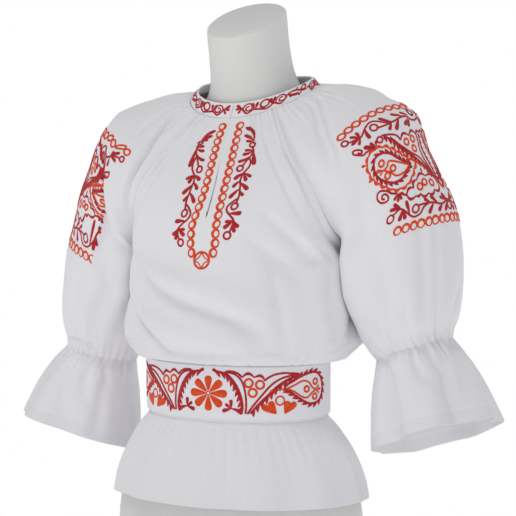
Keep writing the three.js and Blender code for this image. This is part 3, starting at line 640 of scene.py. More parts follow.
def flounce_height(side, across, row):
    seed = SEEDS["flounce"][side]
    edge = ELASTIC_BELOW
    reach = edge["reach"] + edge["varies"] * uneven(across, seed)
    pinched = elastic_height(across, side) * (1 - smooth(edge["full"], reach, row))
    pinched += ELASTIC["swell"] * bell(row / edge["width"])
    creases = creases_height(FLOUNCE_CREASES[side], across, row) * smooth(0, edge["width"], row)
    start, end = HEM["stitch_row"] - HEM["stitch_width"], HEM["stitch_row"] + HEM["stitch_width"]
    hem = HEM["step"] * smooth(start, end, row)
    calm = crinkle(across, row, seed, CRINKLE["sleeve"])
    return pinched + creases + hem_waves(across, row, seed) + calm + hem


# ---------------------------------------------------------------- cloth pieces

BASE_STEP = 0.01                # across, for the normals of the base and of the dressed surface
DRESSED_STEP = 0.004


class Surface:
    """A dressed surface: point(across, row) on its outside and normal(across, row) there.

    base gives its undressed points, height how far the cloth stands off them, last_row its end,
    and out is 1 or -1 so that normals face outward.
    """

    def __init__(self, base, height, last_row, out):
        self.base = base
        self.height = height
        self.last_row = last_row
        self.out = out

    def _normal_of(self, points, across, row, step):
        a0, a1 = np.maximum(across - step, -1), np.minimum(across + step, 1)
        r0, r1 = np.maximum(row - 2 * step, 0), np.minimum(row + 2 * step, self.last_row)
        along_across = points(a1, row) - points(a0, row)
        along_row = points(across, r1) - points(across, r0)
        return unit(np.cross(along_across, along_row)) * self.out

    def base_normal(self, across, row):
        return self._normal_of(self.base, across, row, BASE_STEP)

    def point(self, across, row):
        normal = self.base_normal(across, row)
        return self.base(across, row) + normal * self.height(across, row)[..., None]

    def normal(self, across, row):
        return self._normal_of(self.point, across, row, DRESSED_STEP)


def plain(across, row):
    return np.zeros(np.broadcast(across, row).shape)


def body_surface(facing):
    return Surface(lambda a, r: body_point(facing, a, r),
                   lambda a, r: body_height(facing, a, r), BODY_END, facing)


def sleeve_surface(side):
    return Surface(lambda a, r: sleeve_point(side, a, r),
                   lambda a, r: sleeve_height(side, a, r), ELASTIC_ROW, -side)


def flounce_surface(side):
    return Surface(lambda a, r: flounce_point(side, a, r),
                   lambda a, r: flounce_height(side, a, r), FLOUNCE_END, -side)


def strip_surface(point):
    return Surface(point, plain, 1, -1)


def even_steps(marks):
    """Rows or columns from (value, count) marks: count steps lead to each value after the first."""
    values = [marks[0][0]]
    for (a, _), (b, count) in zip(marks[:-1], marks[1:]):
        values.extend(np.linspace(a, b, count + 1)[1:])
    return np.array(values)


WELD = 1e-6                     # metres
FOLD_STEPS = 6                  # round a folded edge
SEAM_START = 0.985
SEAM_COLUMNS = np.array([0.9915, 0.9965, 1.0])


def seamed(columns):
    """Columns over -1 to 1, with more of them close to the sewn edges."""
    inside = np.linspace(-SEAM_START, SEAM_START, columns)
    return np.concatenate([-SEAM_COLUMNS[::-1], inside, SEAM_COLUMNS])


def add_object(name, points, faces):
    mesh = bpy.data.meshes.new(name)
    mesh.from_pydata(to_row(points), [], faces)
    mesh.shade_smooth()
    obj = bpy.data.objects.new(name, mesh)
    bpy.context.collection.objects.link(obj)
    return obj


def grid_faces(rows, columns, closed, out):
    """Quads over a grid of points. out above 0 keeps their order, and below 0 turns them over."""
    wide = columns if closed else columns - 1
    i, j = np.meshgrid(np.arange(rows - 1), np.arange(wide), indexing="ij")
    k = (j + 1) % columns
    corners = [i * columns + j, i * columns + k, (i + 1) * columns + k, (i + 1) * columns + j]
    quads = np.stack(corners if out > 0 else corners[::-1], axis=-1)
    return quads.reshape(-1, 4)


def mend(obj, fix):
    """Edits an object's mesh in place: fix is given it as a bmesh."""
    bm = bmesh.new()
    bm.from_mesh(obj.data)
    fix(bm)
    bm.to_mesh(obj.data)
    bm.free()


def face_outward(bm):
    bmesh.ops.recalc_face_normals(bm, faces=bm.faces)


def corner_points(obj):
    """The index of the point at every corner of an object's faces."""
    corner = np.zeros(len(obj.data.loops), int)
    obj.data.loops.foreach_get("vertex_index", corner)
    return corner


def lay_map(obj, name, uv):
    obj.data.uv_layers.new(name=name).data.foreach_set("uv", uv.ravel())


def lay_cloth_map(obj, points, cut, closed):
    """A UV map in metres of flat cloth, of the size (width, length) that it was cut to."""
    columns = points.shape[1]
    corner = corner_points(obj)
    column = (corner % columns).reshape(-1, 4)
    row = (corner // columns).reshape(-1, 4)
    if closed:
        last = column.max(axis=1, keepdims=True) == columns - 1
        column = np.where((column == 0) & last, columns, column)
    lengths = run_lengths(points[:, columns // 2])
    down = lengths / lengths[-1]
    wide = columns if closed else columns - 1
    lay_map(obj, "cloth", np.stack([column / wide * cut[0], down[row] * cut[1]], axis=-1))


def open_slit(points, across, rows):
    """Moves the two middle columns of the front apart, down to the end of the slit."""
    left, right = np.flatnonzero(across == 0)[:2]
    share = rows / SLIT["end"]
    gape = mix(SLIT["top"], SLIT["gape"], smooth(*SLIT["opens"], share))
    gape *= 1 - smooth(*SLIT["closes"], share)
    points[:, left, 0] -= gape
    points[:, right, 0] += gape


def weld_slit(bm):
    """Joins the two middle columns again below the end of the slit."""
    bmesh.ops.remove_doubles(bm, verts=bm.verts, dist=WELD)


def cloth_object(name, surface, across, rows, cut, closed=False, slit=False):
    """A wall of cotton over a surface. closed joins its first and last columns."""
    a, r = np.meshgrid(across, rows)
    points = surface.point(a, r)
    if slit:
        open_slit(points, across, rows)
    faces = grid_faces(len(rows), len(across), closed, surface.out)
    if slit:
        faces = faces[faces.min(axis=1) % len(across) != np.flatnonzero(across == 0)[0]]
    obj = add_object(name, points.reshape(-1, 3), faces)
    lay_cloth_map(obj, points, cut, closed)
    if slit:
        mend(obj, weld_slit)
    wall = obj.modifiers.new("cloth", "SOLIDIFY")
    wall.thickness = COTTON_THICKNESS / 1000
    wall.offset = -1
    return obj


def folded_profile(height, wall, steps):
    """Section of a folded strip, as (row, depth below its outside): round at both edges."""
    radius = wall / 2
    turn = np.linspace(0, math.pi, FOLD_STEPS + 1)
    low = height - radius
    top = [(radius - radius * math.sin(t), radius - radius * math.cos(math.pi - t)) for t in turn]
    outside = [(d, 0) for d in np.linspace(radius, low, steps)]
    bottom = [(low + radius * math.sin(t), radius - radius * math.cos(t)) for t in turn]
    inside = [(d, wall) for d in np.linspace(low, radius, steps)]
    loop = top[:-1] + outside[:-1] + bottom[:-1] + inside[:-1]
    return [(d / height, depth) for d, depth in loop]


def strip_object(name, surface, across, profile):
    """A folded strip: its section is swept along a surface and closed at both ends."""
    rings = []
    for row, depth in profile:
        r = np.full_like(across, row)
        rings.append(surface.point(across, r) - surface.base_normal(across, r) * depth)
    faces = grid_faces(len(profile) + 1, len(across), False, surface.out)
    faces %= len(profile) * len(across)
    obj = add_object(name, np.concatenate(rings), faces.tolist())
    mend(obj, close_ends)
    lay_strip_map(obj, rings, len(across))
    return obj


def close_ends(bm):
    bmesh.ops.holes_fill(bm, edges=bm.edges, sides=0)
    face_outward(bm)


def lay_strip_map(obj, rings, columns):
    """A UV map in metres along the strip and round its section."""
    along = run_lengths(rings[0]) / 1000
    corner = corner_points(obj)
    section_mm = np.linalg.norm(rings[0] - rings[len(rings) // 2], axis=1).max()
    round_it = (corner // columns) / len(rings) * 2 * section_mm / 1000
    lay_map(obj, "cloth", np.stack([along[corner % columns], round_it], axis=-1))


# ---------------------------------------------------------------- materials

COTTON_WHITE = (0.87, 0.86, 0.887)
COTTON_SHADE = (0.832, 0.825, 0.858)
# Painted shade of the doubled hem, which lets less light through: the cotton's colour is multiplied
# by this there.
HEM_PAINTED_SHADE = (0.965, 0.965, 0.97)
FORM_WHITE = (0.76, 0.765, 0.75)
FORM_SHADE = (0.73, 0.735, 0.72)
SHEEN_ROUGHNESS = 0.45
# Sockets of a Mix node for colours, which have the same names as its sockets for numbers.
MIX_FACTOR, MIX_FIRST, MIX_SECOND, MIX_RESULT = 0, 6, 7, 2


def new_material(name, colour, roughness, sheen=0.0):
    """A material with a Principled shader, and the shader and its node tree."""
    material = bpy.data.materials.new(name)
    material.use_nodes = True
    tree = material.node_tree
    shader = tree.nodes["Principled BSDF"]
    shader.inputs["Base Color"].default_value = (*colour, 1)
    shader.inputs["Roughness"].default_value = roughness
    shader.inputs["Sheen Weight"].default_value = sheen
    shader.inputs["Sheen Roughness"].default_value = SHEEN_ROUGHNESS
    return material, tree, shader


def node(tree, kind, **values):
    made = tree.nodes.new(kind)
    for key, value in values.items():
        if hasattr(made, key):
            setattr(made, key, value)
        else:
            made.inputs[key.replace("_", " ")].default_value = value
    return made


def bump(tree, height, strength, distance, under=None):
    made = node(tree, "ShaderNodeBump", Strength=strength, Distance=distance)
    tree.links.new(height, made.inputs["Height"])
    if under:
        tree.links.new(under, made.inputs["Normal"])
    return made.outputs["Normal"]


def noise(tree, coordinates, scale, detail):
    made = node(tree, "ShaderNodeTexNoise", Scale=scale, Detail=detail)
    tree.links.new(coordinates, made.inputs["Vector"])
    return made.outputs["Fac"]


def threads(tree, coordinates, pitch, direction):
    """Parallel threads, pitch metres apart, over a UV map in metres."""
    scale = 2 * math.pi / (20 * pitch)      # the Wave Texture has 20 radians to a unit of scale
    made = node(tree, "ShaderNodeTexWave", wave_type="BANDS", bands_direction=direction,
                wave_profile="SIN", Scale=scale, Distortion=0.6, Detail=1.0)
    tree.links.new(coordinates, made.inputs["Vector"])
    return made.outputs["Fac"]


def tinted(tree, fac, dark, light, low=0.3, high=0.7):
    ramp = tree.nodes.new("ShaderNodeValToRGB")
    ramp.color_ramp.elements[0].position = low
    ramp.color_ramp.elements[0].color = (*dark, 1)
    ramp.color_ramp.elements[1].position = high
    ramp.color_ramp.elements[1].color = (*light, 1)
    tree.links.new(fac, ramp.inputs["Fac"])
    return ramp.outputs["Color"]


def cotton_material(name, pitch, crumple, hem=None):
    """Plain-woven white cotton: warp and weft, slubs, and light crumpling. Past hem metres down
    its cloth map it is doubled, so less light comes through it, and that shade is painted into
    its colour."""
    material, tree, shader = new_material(name, COTTON_WHITE, roughness=0.86, sheen=0.18)
    place = tree.nodes.new("ShaderNodeTexCoord")
    warp = threads(tree, place.outputs["UV"], pitch, "X")
    weft = threads(tree, place.outputs["UV"], pitch * 1.1, "Y")
    weave = node(tree, "ShaderNodeMath", operation="MAXIMUM")
    tree.links.new(warp, weave.inputs[0])
    tree.links.new(weft, weave.inputs[1])
    woven = bump(tree, weave.outputs[0], strength=0.22, distance=pitch / 3)
    nap = noise(tree, place.outputs["Object"], scale=210, detail=3)
    fine = bump(tree, nap, strength=0.16, distance=0.0006, under=woven)
    wear = noise(tree, place.outputs["Object"], scale=42, detail=4)
    worn = bump(tree, wear, strength=crumple, distance=0.0026, under=fine)
    tree.links.new(worn, shader.inputs["Normal"])
    slubs = noise(tree, place.outputs["UV"], scale=320, detail=2)
    colour = tinted(tree, slubs, COTTON_SHADE, COTTON_WHITE)
    # Painted shade on the doubled hem, which lets less light through.
    if hem:
        colour = doubled(tree, place.outputs["UV"], hem, colour)
    tree.links.new(colour, shader.inputs["Base Color"])
    return material


def doubled(tree, coordinates, hem, colour):
    """The colour, with painted shade where the cloth map is past hem, as the doubled cloth lets
    less light through.
    """
    split = tree.nodes.new("ShaderNodeSeparateXYZ")
    tree.links.new(coordinates, split.inputs["Vector"])
    past = node(tree, "ShaderNodeMath", operation="GREATER_THAN")
    past.inputs[1].default_value = hem
    tree.links.new(split.outputs["Y"], past.inputs[0])
    shade = node(tree, "ShaderNodeMix", data_type="RGBA", blend_type="MULTIPLY")
    shade.inputs[MIX_SECOND].default_value = (*HEM_PAINTED_SHADE, 1)
    tree.links.new(past.outputs[0], shade.inputs[MIX_FACTOR])
    tree.links.new(colour, shade.inputs[MIX_FIRST])
    return shade.outputs[MIX_RESULT]


def form_material():
    """The form's moulded shell: matt, with a faint orange-peel skin."""
    material, tree, shader = new_material("form_shell", FORM_WHITE, roughness=0.5)
    place = tree.nodes.new("ShaderNodeTexCoord").outputs["Object"]
    peel = noise(tree, place, scale=420, detail=2)
    skin = bump(tree, peel, strength=0.08, distance=0.0004)
    waves = noise(tree, place, scale=9, detail=2)
    broad = bump(tree, waves, strength=0.05, distance=0.004, under=skin)
    tree.links.new(broad, shader.inputs["Normal"])
    tone = noise(tree, place, scale=5, detail=2)
    tree.links.new(tinted(tree, tone, FORM_SHADE, FORM_WHITE), shader.inputs["Base Color"])
    return material


# ---------------------------------------------------------------- pieces

BODY_CUT = (0.52, 0.56)         # flat width and length of the front and of the back, in metres
SLEEVE_CUT = (0.50, 0.46)
FLOUNCE_CUT = (0.58, 0.12)
HEM_START = 0.105               # how far down the flounce its hem is doubled, in metres

# How finely the pieces are meshed, down their rows and across.
BODY_GRID = even_steps([(0, 0), (1, 16), (3, 22), (6, 26), (9, 22), (12, 36), (15, 8), (19, 30)])
SLEEVE_GRID = even_steps([(0, 0), (1, 14), (3, 18), (6, 22), (9, 20), (12, 34)])
FLOUNCE_GRID = even_steps([(0, 0), (1, 14), (3, 18), (4.34, 12), (4.42, 3), (5, 6)])
FORM_GRID = even_steps([(0, 0), (1, 1), (6, 16), (8, 10), (19, 40), (23, 26), (25, 8)])
COLUMNS = {"body": 190, "sleeve": 206, "flounce": 260, "form": 96, "neckband": 180, "belt": 240}
STRIP_STEPS = {"neckband": 8, "belt": 14}
FORM_TILT = (440, 600)          # heights between which the tilt of the form's shoulders sets in


def finish_piece(obj, material, slot, *nodes):
    """Gives a piece its material, and says which nodes of the solid it replaces. slot is not used.
    """
    obj.data.materials.append(material)
    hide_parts(*nodes)
    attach(obj, "root")


def body_panel(name, facing, material):
    across = seamed(COLUMNS["body"])
    if facing < 0:
        half = across[across > 0]
        across = np.concatenate([-half[::-1], [0, 0], half])
    obj = cloth_object(name, body_surface(facing), across, BODY_GRID, BODY_CUT, slit=facing < 0)
    finish_piece(obj, material, "cotton", name.removesuffix("_cloth"))


def sleeve(name, side, material):
    across = seamed(COLUMNS["sleeve"])
    obj = cloth_object(name, sleeve_surface(side), across, SLEEVE_GRID, SLEEVE_CUT)
    finish_piece(obj, material, "cotton", name.removesuffix("_cloth"))


def flounce(name, side, material):
    across = np.linspace(-1, 1, COLUMNS["flounce"], endpoint=False)
    obj = cloth_object(name, flounce_surface(side), across, FLOUNCE_GRID, FLOUNCE_CUT, closed=True)
    finish_piece(obj, material, "cotton", name.removesuffix("_cloth"))


def strip(name, point, height, wall, material):
    """The neckband or the belt."""
    across = np.linspace(-1, 1, COLUMNS[name])
    profile = folded_profile(height, wall, STRIP_STEPS[name])
    obj = strip_object(f"{name}_band", strip_surface(point), across, profile)
    finish_piece(obj, material, f"{name}_cloth", name)


def dress_form(material):
    angle = np.linspace(0, 2 * math.pi, COLUMNS["form"], endpoint=False)
    a, r = np.meshgrid(angle, FORM_GRID)
    s = section(FORM, r)
    reach = np.where(np.cos(a) > 0, s["back"] - s["mid"], s["mid"] - s["front"])
    x = s["x"] * np.sin(a)
    y = reach * np.cos(a)
    tilt = SHOULDER_TILT * smooth(*FORM_TILT, s["z"])
    points = vectors(x, s["mid"] + y, s["z"] + s["lean"] * y + tilt * x).reshape(-1, 3)
    faces = grid_faces(len(FORM_GRID), len(angle), True, 1).tolist()
    faces.append(list(range(len(angle))))
    faces.append(list(range(len(points) - len(angle), len(points))))
    obj = add_object("dress_form_shell", points, faces)
    mend(obj, face_outward)
    finish_piece(obj, material, "form", "dress_form")


SIDES = ((1, "left"), (-1, "right"))    # the wearer's


def all_pieces():
    cotton = cotton_material("blouse_cotton", pitch=0.0006, crumple=0.22)
    hemmed = cotton_material("flounce_cotton", pitch=0.0006, crumple=0.22, hem=HEM_START)
    band_cotton = cotton_material("band_cotton", pitch=0.0006, crumple=0.08)
    belt_cotton = cotton_material("belt_cotton", pitch=0.0007, crumple=0.05)
    dress_form(form_material())
    body_panel("front_cloth", -1, cotton)
    body_panel("back_cloth", 1, cotton)
    for side, hand in SIDES:
        sleeve(f"sleeve_{hand}_cloth", side, cotton)
        flounce(f"flounce_{hand}_cloth", side, hemmed)
    band_height = math.dist(band_point(0.5, 0.0), band_point(0.5, 1.0))
    strip("neckband", band_point, band_height, BAND_WALL, band_cotton)
    strip("belt", belt_point, BELT["high"] - BELT["low"], BELT_WALL, belt_cotton)


all_pieces()

# ---------------------------------------------------------------- embroidery: laying it

CHART_COLUMNS = 401
CHART_ROWS = 161


class Chart:
    """Millimetre coordinates on a surface: u runs across it from a middle line, and v down it."""

    def __init__(self, surface, middle, rows):
        self.surface = surface
        self.across = np.linspace(-1, 1, CHART_COLUMNS)
        self.rows = np.linspace(*rows, CHART_ROWS)
        points = surface.base(*np.meshgrid(self.across, self.rows))
        steps = np.linalg.norm(np.diff(points, axis=1), axis=-1)
        lengths = np.pad(np.cumsum(steps, axis=1), ((0, 0), (1, 0)))
        column = np.argmin(np.abs(self.across - middle))
        self.u = lengths - lengths[:, column:column + 1]
        self.v = run_lengths(points[:, column])

    def place(self, uv):
        """(across, row) of points (u, v)."""
        row_index = np.interp(uv[:, 1], self.v, np.arange(len(self.rows)))
        low = np.minimum(row_index.astype(int), len(self.rows) - 2)
        share = (row_index - low)[:, None]
        profile = mix(self.u[low], self.u[low + 1], share)
        column = np.clip((profile < uv[:, :1]).sum(axis=1) - 1, 0, len(self.across) - 2)
        n = np.arange(len(uv))
        left, right = profile[n, column], profile[n, column + 1]
        t = np.clip((uv[:, 0] - left) / (right - left), 0, 1)
        down = row_index / (len(self.rows) - 1)
        return (mix(self.across[column], self.across[column + 1], t),
                mix(self.rows[0], self.rows[-1], down))


STITCH_STEP = 1.1               # length of a ribbon's pieces
LEAST_STEPS = 4                 # in a ribbon
# Section of a line of satin stitch: share of its half width, and height above the cloth. It has
# that height at a half width of LIFT_HALF, and other lines share out more or less of it.
STITCH_SECTION = [(-1, -0.5), (-0.85, 0.3), (0, 0.55), (0.85, 0.3), (1, -0.5)]
LIFT_HALF = 0.9
LIFT_RANGE = (0.45, 1.35)


def resampled(path, closed):
    """The path with even steps of about STITCH_STEP, each point's share of its length, and its
    length."""
    path = np.asarray(path, float)
    if closed:
        path = np.vstack([path, path[:1]])
    lengths = run_lengths(path)
    count = max(int(round(lengths[-1] / STITCH_STEP)), LEAST_STEPS)
    share = np.linspace(0, 1, count + 1)[: count if closed else count + 1]
    return along_path(path, lengths, share * lengths[-1]), share, lengths[-1]


def ribbon(stroke):
    """A stroke as (points (u, v), heights, faces, thread map)."""
    path, width, closed = stroke
    centre, share, length = resampled(path, closed)
    ahead = np.roll(centre, -1, axis=0)
    behind = np.roll(centre, 1, axis=0)
    if not closed:
        ahead[-1] = centre[-1]
        behind[0] = centre[0]
    along = unit(ahead - behind)
    aside = np.stack([-along[:, 1], along[:, 0]], axis=-1)
    half = np.broadcast_to(width(share) if callable(width) else width, share.shape) / 2
    across, height = np.array(STITCH_SECTION).T
    uv = centre[:, None] + aside[:, None] * (across[None, :] * half[:, None])[..., None]
    lift = height[None, :] * np.clip(half[:, None] / LIFT_HALF, *LIFT_RANGE)
    rows, columns = len(centre), len(across)
    count = rows if closed else rows - 1
    i, j = np.meshgrid(np.arange(count), np.arange(columns), indexing="ij")
    k, m = (i + 1) % rows, (j + 1) % columns
    quads = np.stack([i * columns + j, k * columns + j, k * columns + m, i * columns + m], axis=-1)
    faces = quads.reshape(-1, 4).tolist()
    if not closed:
        faces.append(list(range(columns)))
        faces.append([(rows - 1) * columns + c for c in reversed(range(columns))])
    thread = np.stack(np.broadcast_arrays((share * length)[:, None], across[None, :]), axis=-1)
    return uv.reshape(-1, 2), lift.ravel(), faces, thread.reshape(-1, 2)


def embroidery(name, chart, strokes, material):
    """Strokes of one colour as one mesh that lies on the chart's cloth."""
    parts = [ribbon(stroke) for stroke in strokes]
    uv = np.concatenate([part[0] for part in parts])
    lift = np.concatenate([part[1] for part in parts])
    thread = np.concatenate([part[3] for part in parts])
    faces, first = [], 0
    for points, _, own, _ in parts:
        faces.extend([first + k for k in face] for face in own)
        first += len(points)
    across, row = chart.place(uv)
    surface = chart.surface
    points = surface.point(across, row) + surface.normal(across, row) * lift[:, None]
    obj = add_object(name, points, faces)
    lay_map(obj, "thread", thread[corner_points(obj)] / 1000)
    mend(obj, face_outward)
    obj.data.materials.append(material)
    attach(obj, "root")


# ---------------------------------------------------------------- embroidery: strokes, in mm

LINE = 2.85                     # width of a line of satin stitch
CHAIN_LINE = 3.05               # and of the rings of the orange chains
RING_STEPS = 32
RING_SWELL = 0.34               # how much heavier than its nominal width a ring is on one side
CURVE_STEPS = 8                 # from knot to knot
LEAF = 4                        # nominal width of a leaf
LEAF_FULLNESS = 1.55            # widest part of a leaf over its nominal width
LEAF_STOUTNESS = 0.45           # and the most that it may be over its length
# Width along a leaf: its stem, how it swells and how late it rounds off, and its largest value.
LEAF_OUTLINE = {"stem": 0.12, "swell": 0.85, "round": 5}
LEAF_PEAK = 0.705
LEAF_STEPS = 16
ARC_STEPS = 12
ARC_SWELL = (0.7, 0.75)         # width at an arc's ends, and what its crown adds, over its width
# Teeth: distance apart, width at the base and tip, how fast they narrow, and where they begin.
TOOTH = {"pitch": 7.2, "base": 6.4, "tip": 0.5, "narrows": 0.8, "first": 0.3, "knots": 5}
SAW_END = 1.2                   # width at the ends of an open serrated line
SAW_SWELL = 0.6
SAW_RANGE = (0.02, 0.98)


def ring(centre, radius, width=LINE, squash=1.0):
    """A round of satin stitch. squash above 1 widens it across."""
    angle = np.linspace(0, 2 * math.pi, RING_STEPS, endpoint=False)
    path = np.stack([radius * squash * np.cos(angle), radius * np.sin(angle)], axis=-1)
    return (path + centre, width, True)


def rings(centres, radius, width=LINE):
    return [ring(centre, radius, width) for centre in centres]


def heavier(width, towards):
    """Ring width that grows towards an angle, in degrees from +u to +v."""
    turn = math.radians(towards)
    return lambda share: width * (1 + RING_SWELL * np.cos(2 * math.pi * share - turn))


def smooth_path(knots, closed=False):
    """Catmull-Rom curve through knots."""
    p = np.array(knots, float)
    count = len(p)

    def near(k):
        return p[k % count] if closed else p[min(max(k, 0), count - 1)]

    weights = curve_weights(np.linspace(0, 1, CURVE_STEPS + 1)[:-1, None])
    spans = [sum(w * near(k + m) for w, m in zip(weights, (-1, 0, 1, 2)))
             for k in range(count if closed else count - 1)]
    return np.vstack(spans if closed else [*spans, p[-1:]])


def line(knots, width=LINE, closed=False):
    return (smooth_path(knots, closed), width, closed)


def lines(paths, width=LINE):
    return [line(knots, width) for knots in paths]


def leaf_outline(t):
    """Width along a leaf, which starts thin at its base and ends round at its tip."""
    swell = mix(LEAF_OUTLINE["stem"], 1, t ** LEAF_OUTLINE["swell"])
    return swell * np.sqrt(1 - t ** LEAF_OUTLINE["round"])


def petal(base, tip, width, bend=0.0):
    """A leaf or petal, width at its widest."""
    share = np.linspace(0, 1, LEAF_STEPS)[:, None]
    run = np.subtract(tip, base)
    aside = np.array([-run[1], run[0]]) / math.hypot(*run)
    path = np.array(base) + run * share + aside * bend * np.sin(math.pi * share)
    return (path, lambda t: width / LEAF_PEAK * leaf_outline(t) + LEAF_OUTLINE["stem"], False)


def leaf(base, tip, width=LEAF, bend=0.0):
    widest = min(LEAF_FULLNESS * width, LEAF_STOUTNESS * math.dist(base, tip))
    return petal(base, tip, widest, bend)


def leaves(rows):
    return [leaf(*row) for row in rows]


def spaced(path, count):
    """count points at even distances along a closed path."""
    path = np.vstack([path, path[:1]])
    lengths = run_lengths(path)
    return along_path(path, lengths, np.arange(count) / count * lengths[-1])


def scalloped(cusps, bulge, width=LINE, closed=False):
    """Arcs from cusp to cusp, heaviest at their crowns. bulge is a share of each arc's chord."""
    cusps = np.array(cusps, float)
    ends = np.roll(cusps, -1, axis=0)
    pairs = list(zip(cusps, ends)) if closed else list(zip(cusps[:-1], cusps[1:]))
    share = np.linspace(0, 1, ARC_STEPS + 1)[:, None]
    least, crown = ARC_SWELL

    def swell(t):
        return width * (least + crown * np.sin(math.pi * t) ** 2)

    strokes = []
    for a, b in pairs:
        run = b - a
        aside = np.array([-run[1], run[0]])
        strokes.append((a + run * share + aside * bulge * np.sin(math.pi * share), swell, False))
    return strokes


def teeth(path, reach, lean):
    """Broad pointed stitches that stand off one side of a path and lean along it."""
    lengths = run_lengths(path)
    count = int(lengths[-1] / TOOTH["pitch"])
    at = (np.arange(count) + TOOTH["first"]) / count * lengths[-1]
    base = along_path(path, lengths, at)
    run = unit(along_path(path, lengths, at + 1) - base)
    aside = np.stack([-run[:, 1], run[:, 0]], axis=-1)
    tips = base + aside * reach + run * lean
    return [(np.linspace(foot, tip, TOOTH["knots"]), tooth_width, False)
            for foot, tip in zip(base, tips)]


def tooth_width(t):
    return TOOTH["base"] * (1 - t) ** TOOTH["narrows"] + TOOTH["tip"]


def serrated(knots, widest, reach, lean, closed=False):
    """A heavy line, or a long narrow leaf, with teeth along one side."""
    path = smooth_path(knots, closed)
    if closed:
        return [(path, widest, True)] + teeth(path, reach, lean)

    def swell(t):
        return mix(SAW_END, widest, np.sin(math.pi * np.clip(t, *SAW_RANGE)) ** SAW_SWELL)

    return [(path, swell, False)] + teeth(path, reach, lean)


def warped(strokes, warp):
    """The strokes with warp done to their paths."""
    return [(warp(path), width, closed) for path, width, closed in strokes]


def mirrored(strokes):
    return warped(strokes, lambda path: path * (-1, 1))


def both_sides(strokes):
    return strokes + mirrored(strokes)


# ---------------------------------------------------------------- embroidery: round the slit

# Distance down, and the distances out of the chains on the wearer's left and right, with the
# angle towards which their rings are heavier.
SLIT_CHAIN_DOWN = [14, 42, 80, 105, 133, 150, 176, 190]
SLIT_CHAINS_OUT = [([16, 16, 15.4, 14.6, 15.2, 16.6, 17.8, 15.6], 180),
                   ([-8.4, -10.4, -11.6, -12.2, -14.4, -16.6, -16.4, -13.8], 0)]
SLIT_RINGS = {"from": 14, "to": 189, "count": 16, "radius": 4.9, "squash": 0.87}
SLIT_CIRCLE = {"centre": (0.6, 198), "radius": 10, "inner": 3.6, "star": 1.8}
VINE_STEMS = [
    [(39.5, 50.5), (41, 53.5), (42, 56), (41, 62), (37, 68), (32, 76.5)],
    [(38.5, 66.5), (41.5, 73), (40.5, 80), (35, 88), (33.3, 94), (33, 99), (34.5, 105), (35, 110),
     (36, 116), (36, 122), (34.5, 128)],
    [(36, 122), (30, 126), (24.5, 132), (25.5, 138), (31, 143.5), (37, 150), (37.5, 156),
     (35, 164)],
]
VINE_RINGS = [((39, 47), 3.4), ((29, 80.5), 3.9), ((33.8, 132.3), 4.1), ((32, 168.4), 4.4)]
VINE_LEAVES = [
    ((40, 42), (24, 18), 3.4, 5), ((39.5, 41.5), (25, 30), 3.2, 1.2), ((39, 43), (29, 39), 2.9),
    ((41.5, 57), (30, 54), 3, 0.8), ((41.5, 57.5), (28, 60), 3.4, -1),
    ((39, 64), (24, 70.5), 3.2, -1.5), ((42.5, 58), (46.5, 78), 4.2),
    ((35, 88), (24, 96), 4, 0.8), ((35.5, 89), (41, 100), 4.2), ((35.5, 88), (46.5, 95), 3, -0.5),
    ((33.5, 98), (24.5, 107), 3.4, 0.8), ((34, 101), (46, 112), 4),
    ((35, 109.5), (23.5, 121.5), 3.8, 0.8), ((35.5, 112), (41.5, 120), 3.8),
    ((30, 141), (45.4, 142), 4), ((37, 150), (26.5, 150.7), 3.2, -1),
    ((36.5, 151.5), (26, 159.5), 3.8, -0.5), ((37.5, 150), (46.3, 159), 4.2, 1.4),
    ((37.5, 154), (41, 165.5), 3.8),
]
# The right-hand vine was stitched a little longer and closer in than the left one.
RIGHT_VINE_V = ([0, 18, 36, 56, 80, 99, 132, 150, 168, 200],
                [0, 20, 32, 46, 79, 98, 139, 159, 176, 208])
RIGHT_VINE_U = ([15, 50, 200], [0.64, 0.88, 1])


def right_vine(path):
    u = path[:, 0] * np.interp(path[:, 1], *RIGHT_VINE_U)
    return np.stack([-u, np.interp(path[:, 1], *RIGHT_VINE_V)], axis=-1)


def slit_chains():
    """The two chains of rings, and under them a circle with a star in it."""
    chain = SLIT_RINGS
    down = np.linspace(chain["from"], chain["to"], chain["count"])
    strokes = []
    for out, towards in SLIT_CHAINS_OUT:
        for v, u in zip(down, np.interp(down, SLIT_CHAIN_DOWN, out)):
            width = heavier(CHAIN_LINE, towards)
            strokes.append(ring((u, v), chain["radius"], width, chain["squash"]))
    centre = np.array(SLIT_CIRCLE["centre"])
    strokes.append(ring(centre, SLIT_CIRCLE["radius"], CHAIN_LINE))
    reach, inner = SLIT_CIRCLE["radius"], SLIT_CIRCLE["inner"]
    for x, y in ((1, 1), (1, -1), (-1, 1), (-1, -1)):
        knots = [(0, y * reach), (x * inner, y * inner), (x * reach, 0)]
        strokes.append(line(centre + knots, SLIT_CIRCLE["star"]))
    return strokes


def slit_vines():
    """The vine on each side of the slit's chains."""
    vine = lines(VINE_STEMS) + [ring(*row) for row in VINE_RINGS] + leaves(VINE_LEAVES)
    return vine + warped(vine, right_vine)


# ---------------------------------------------------------------- embroidery: on a sleeve

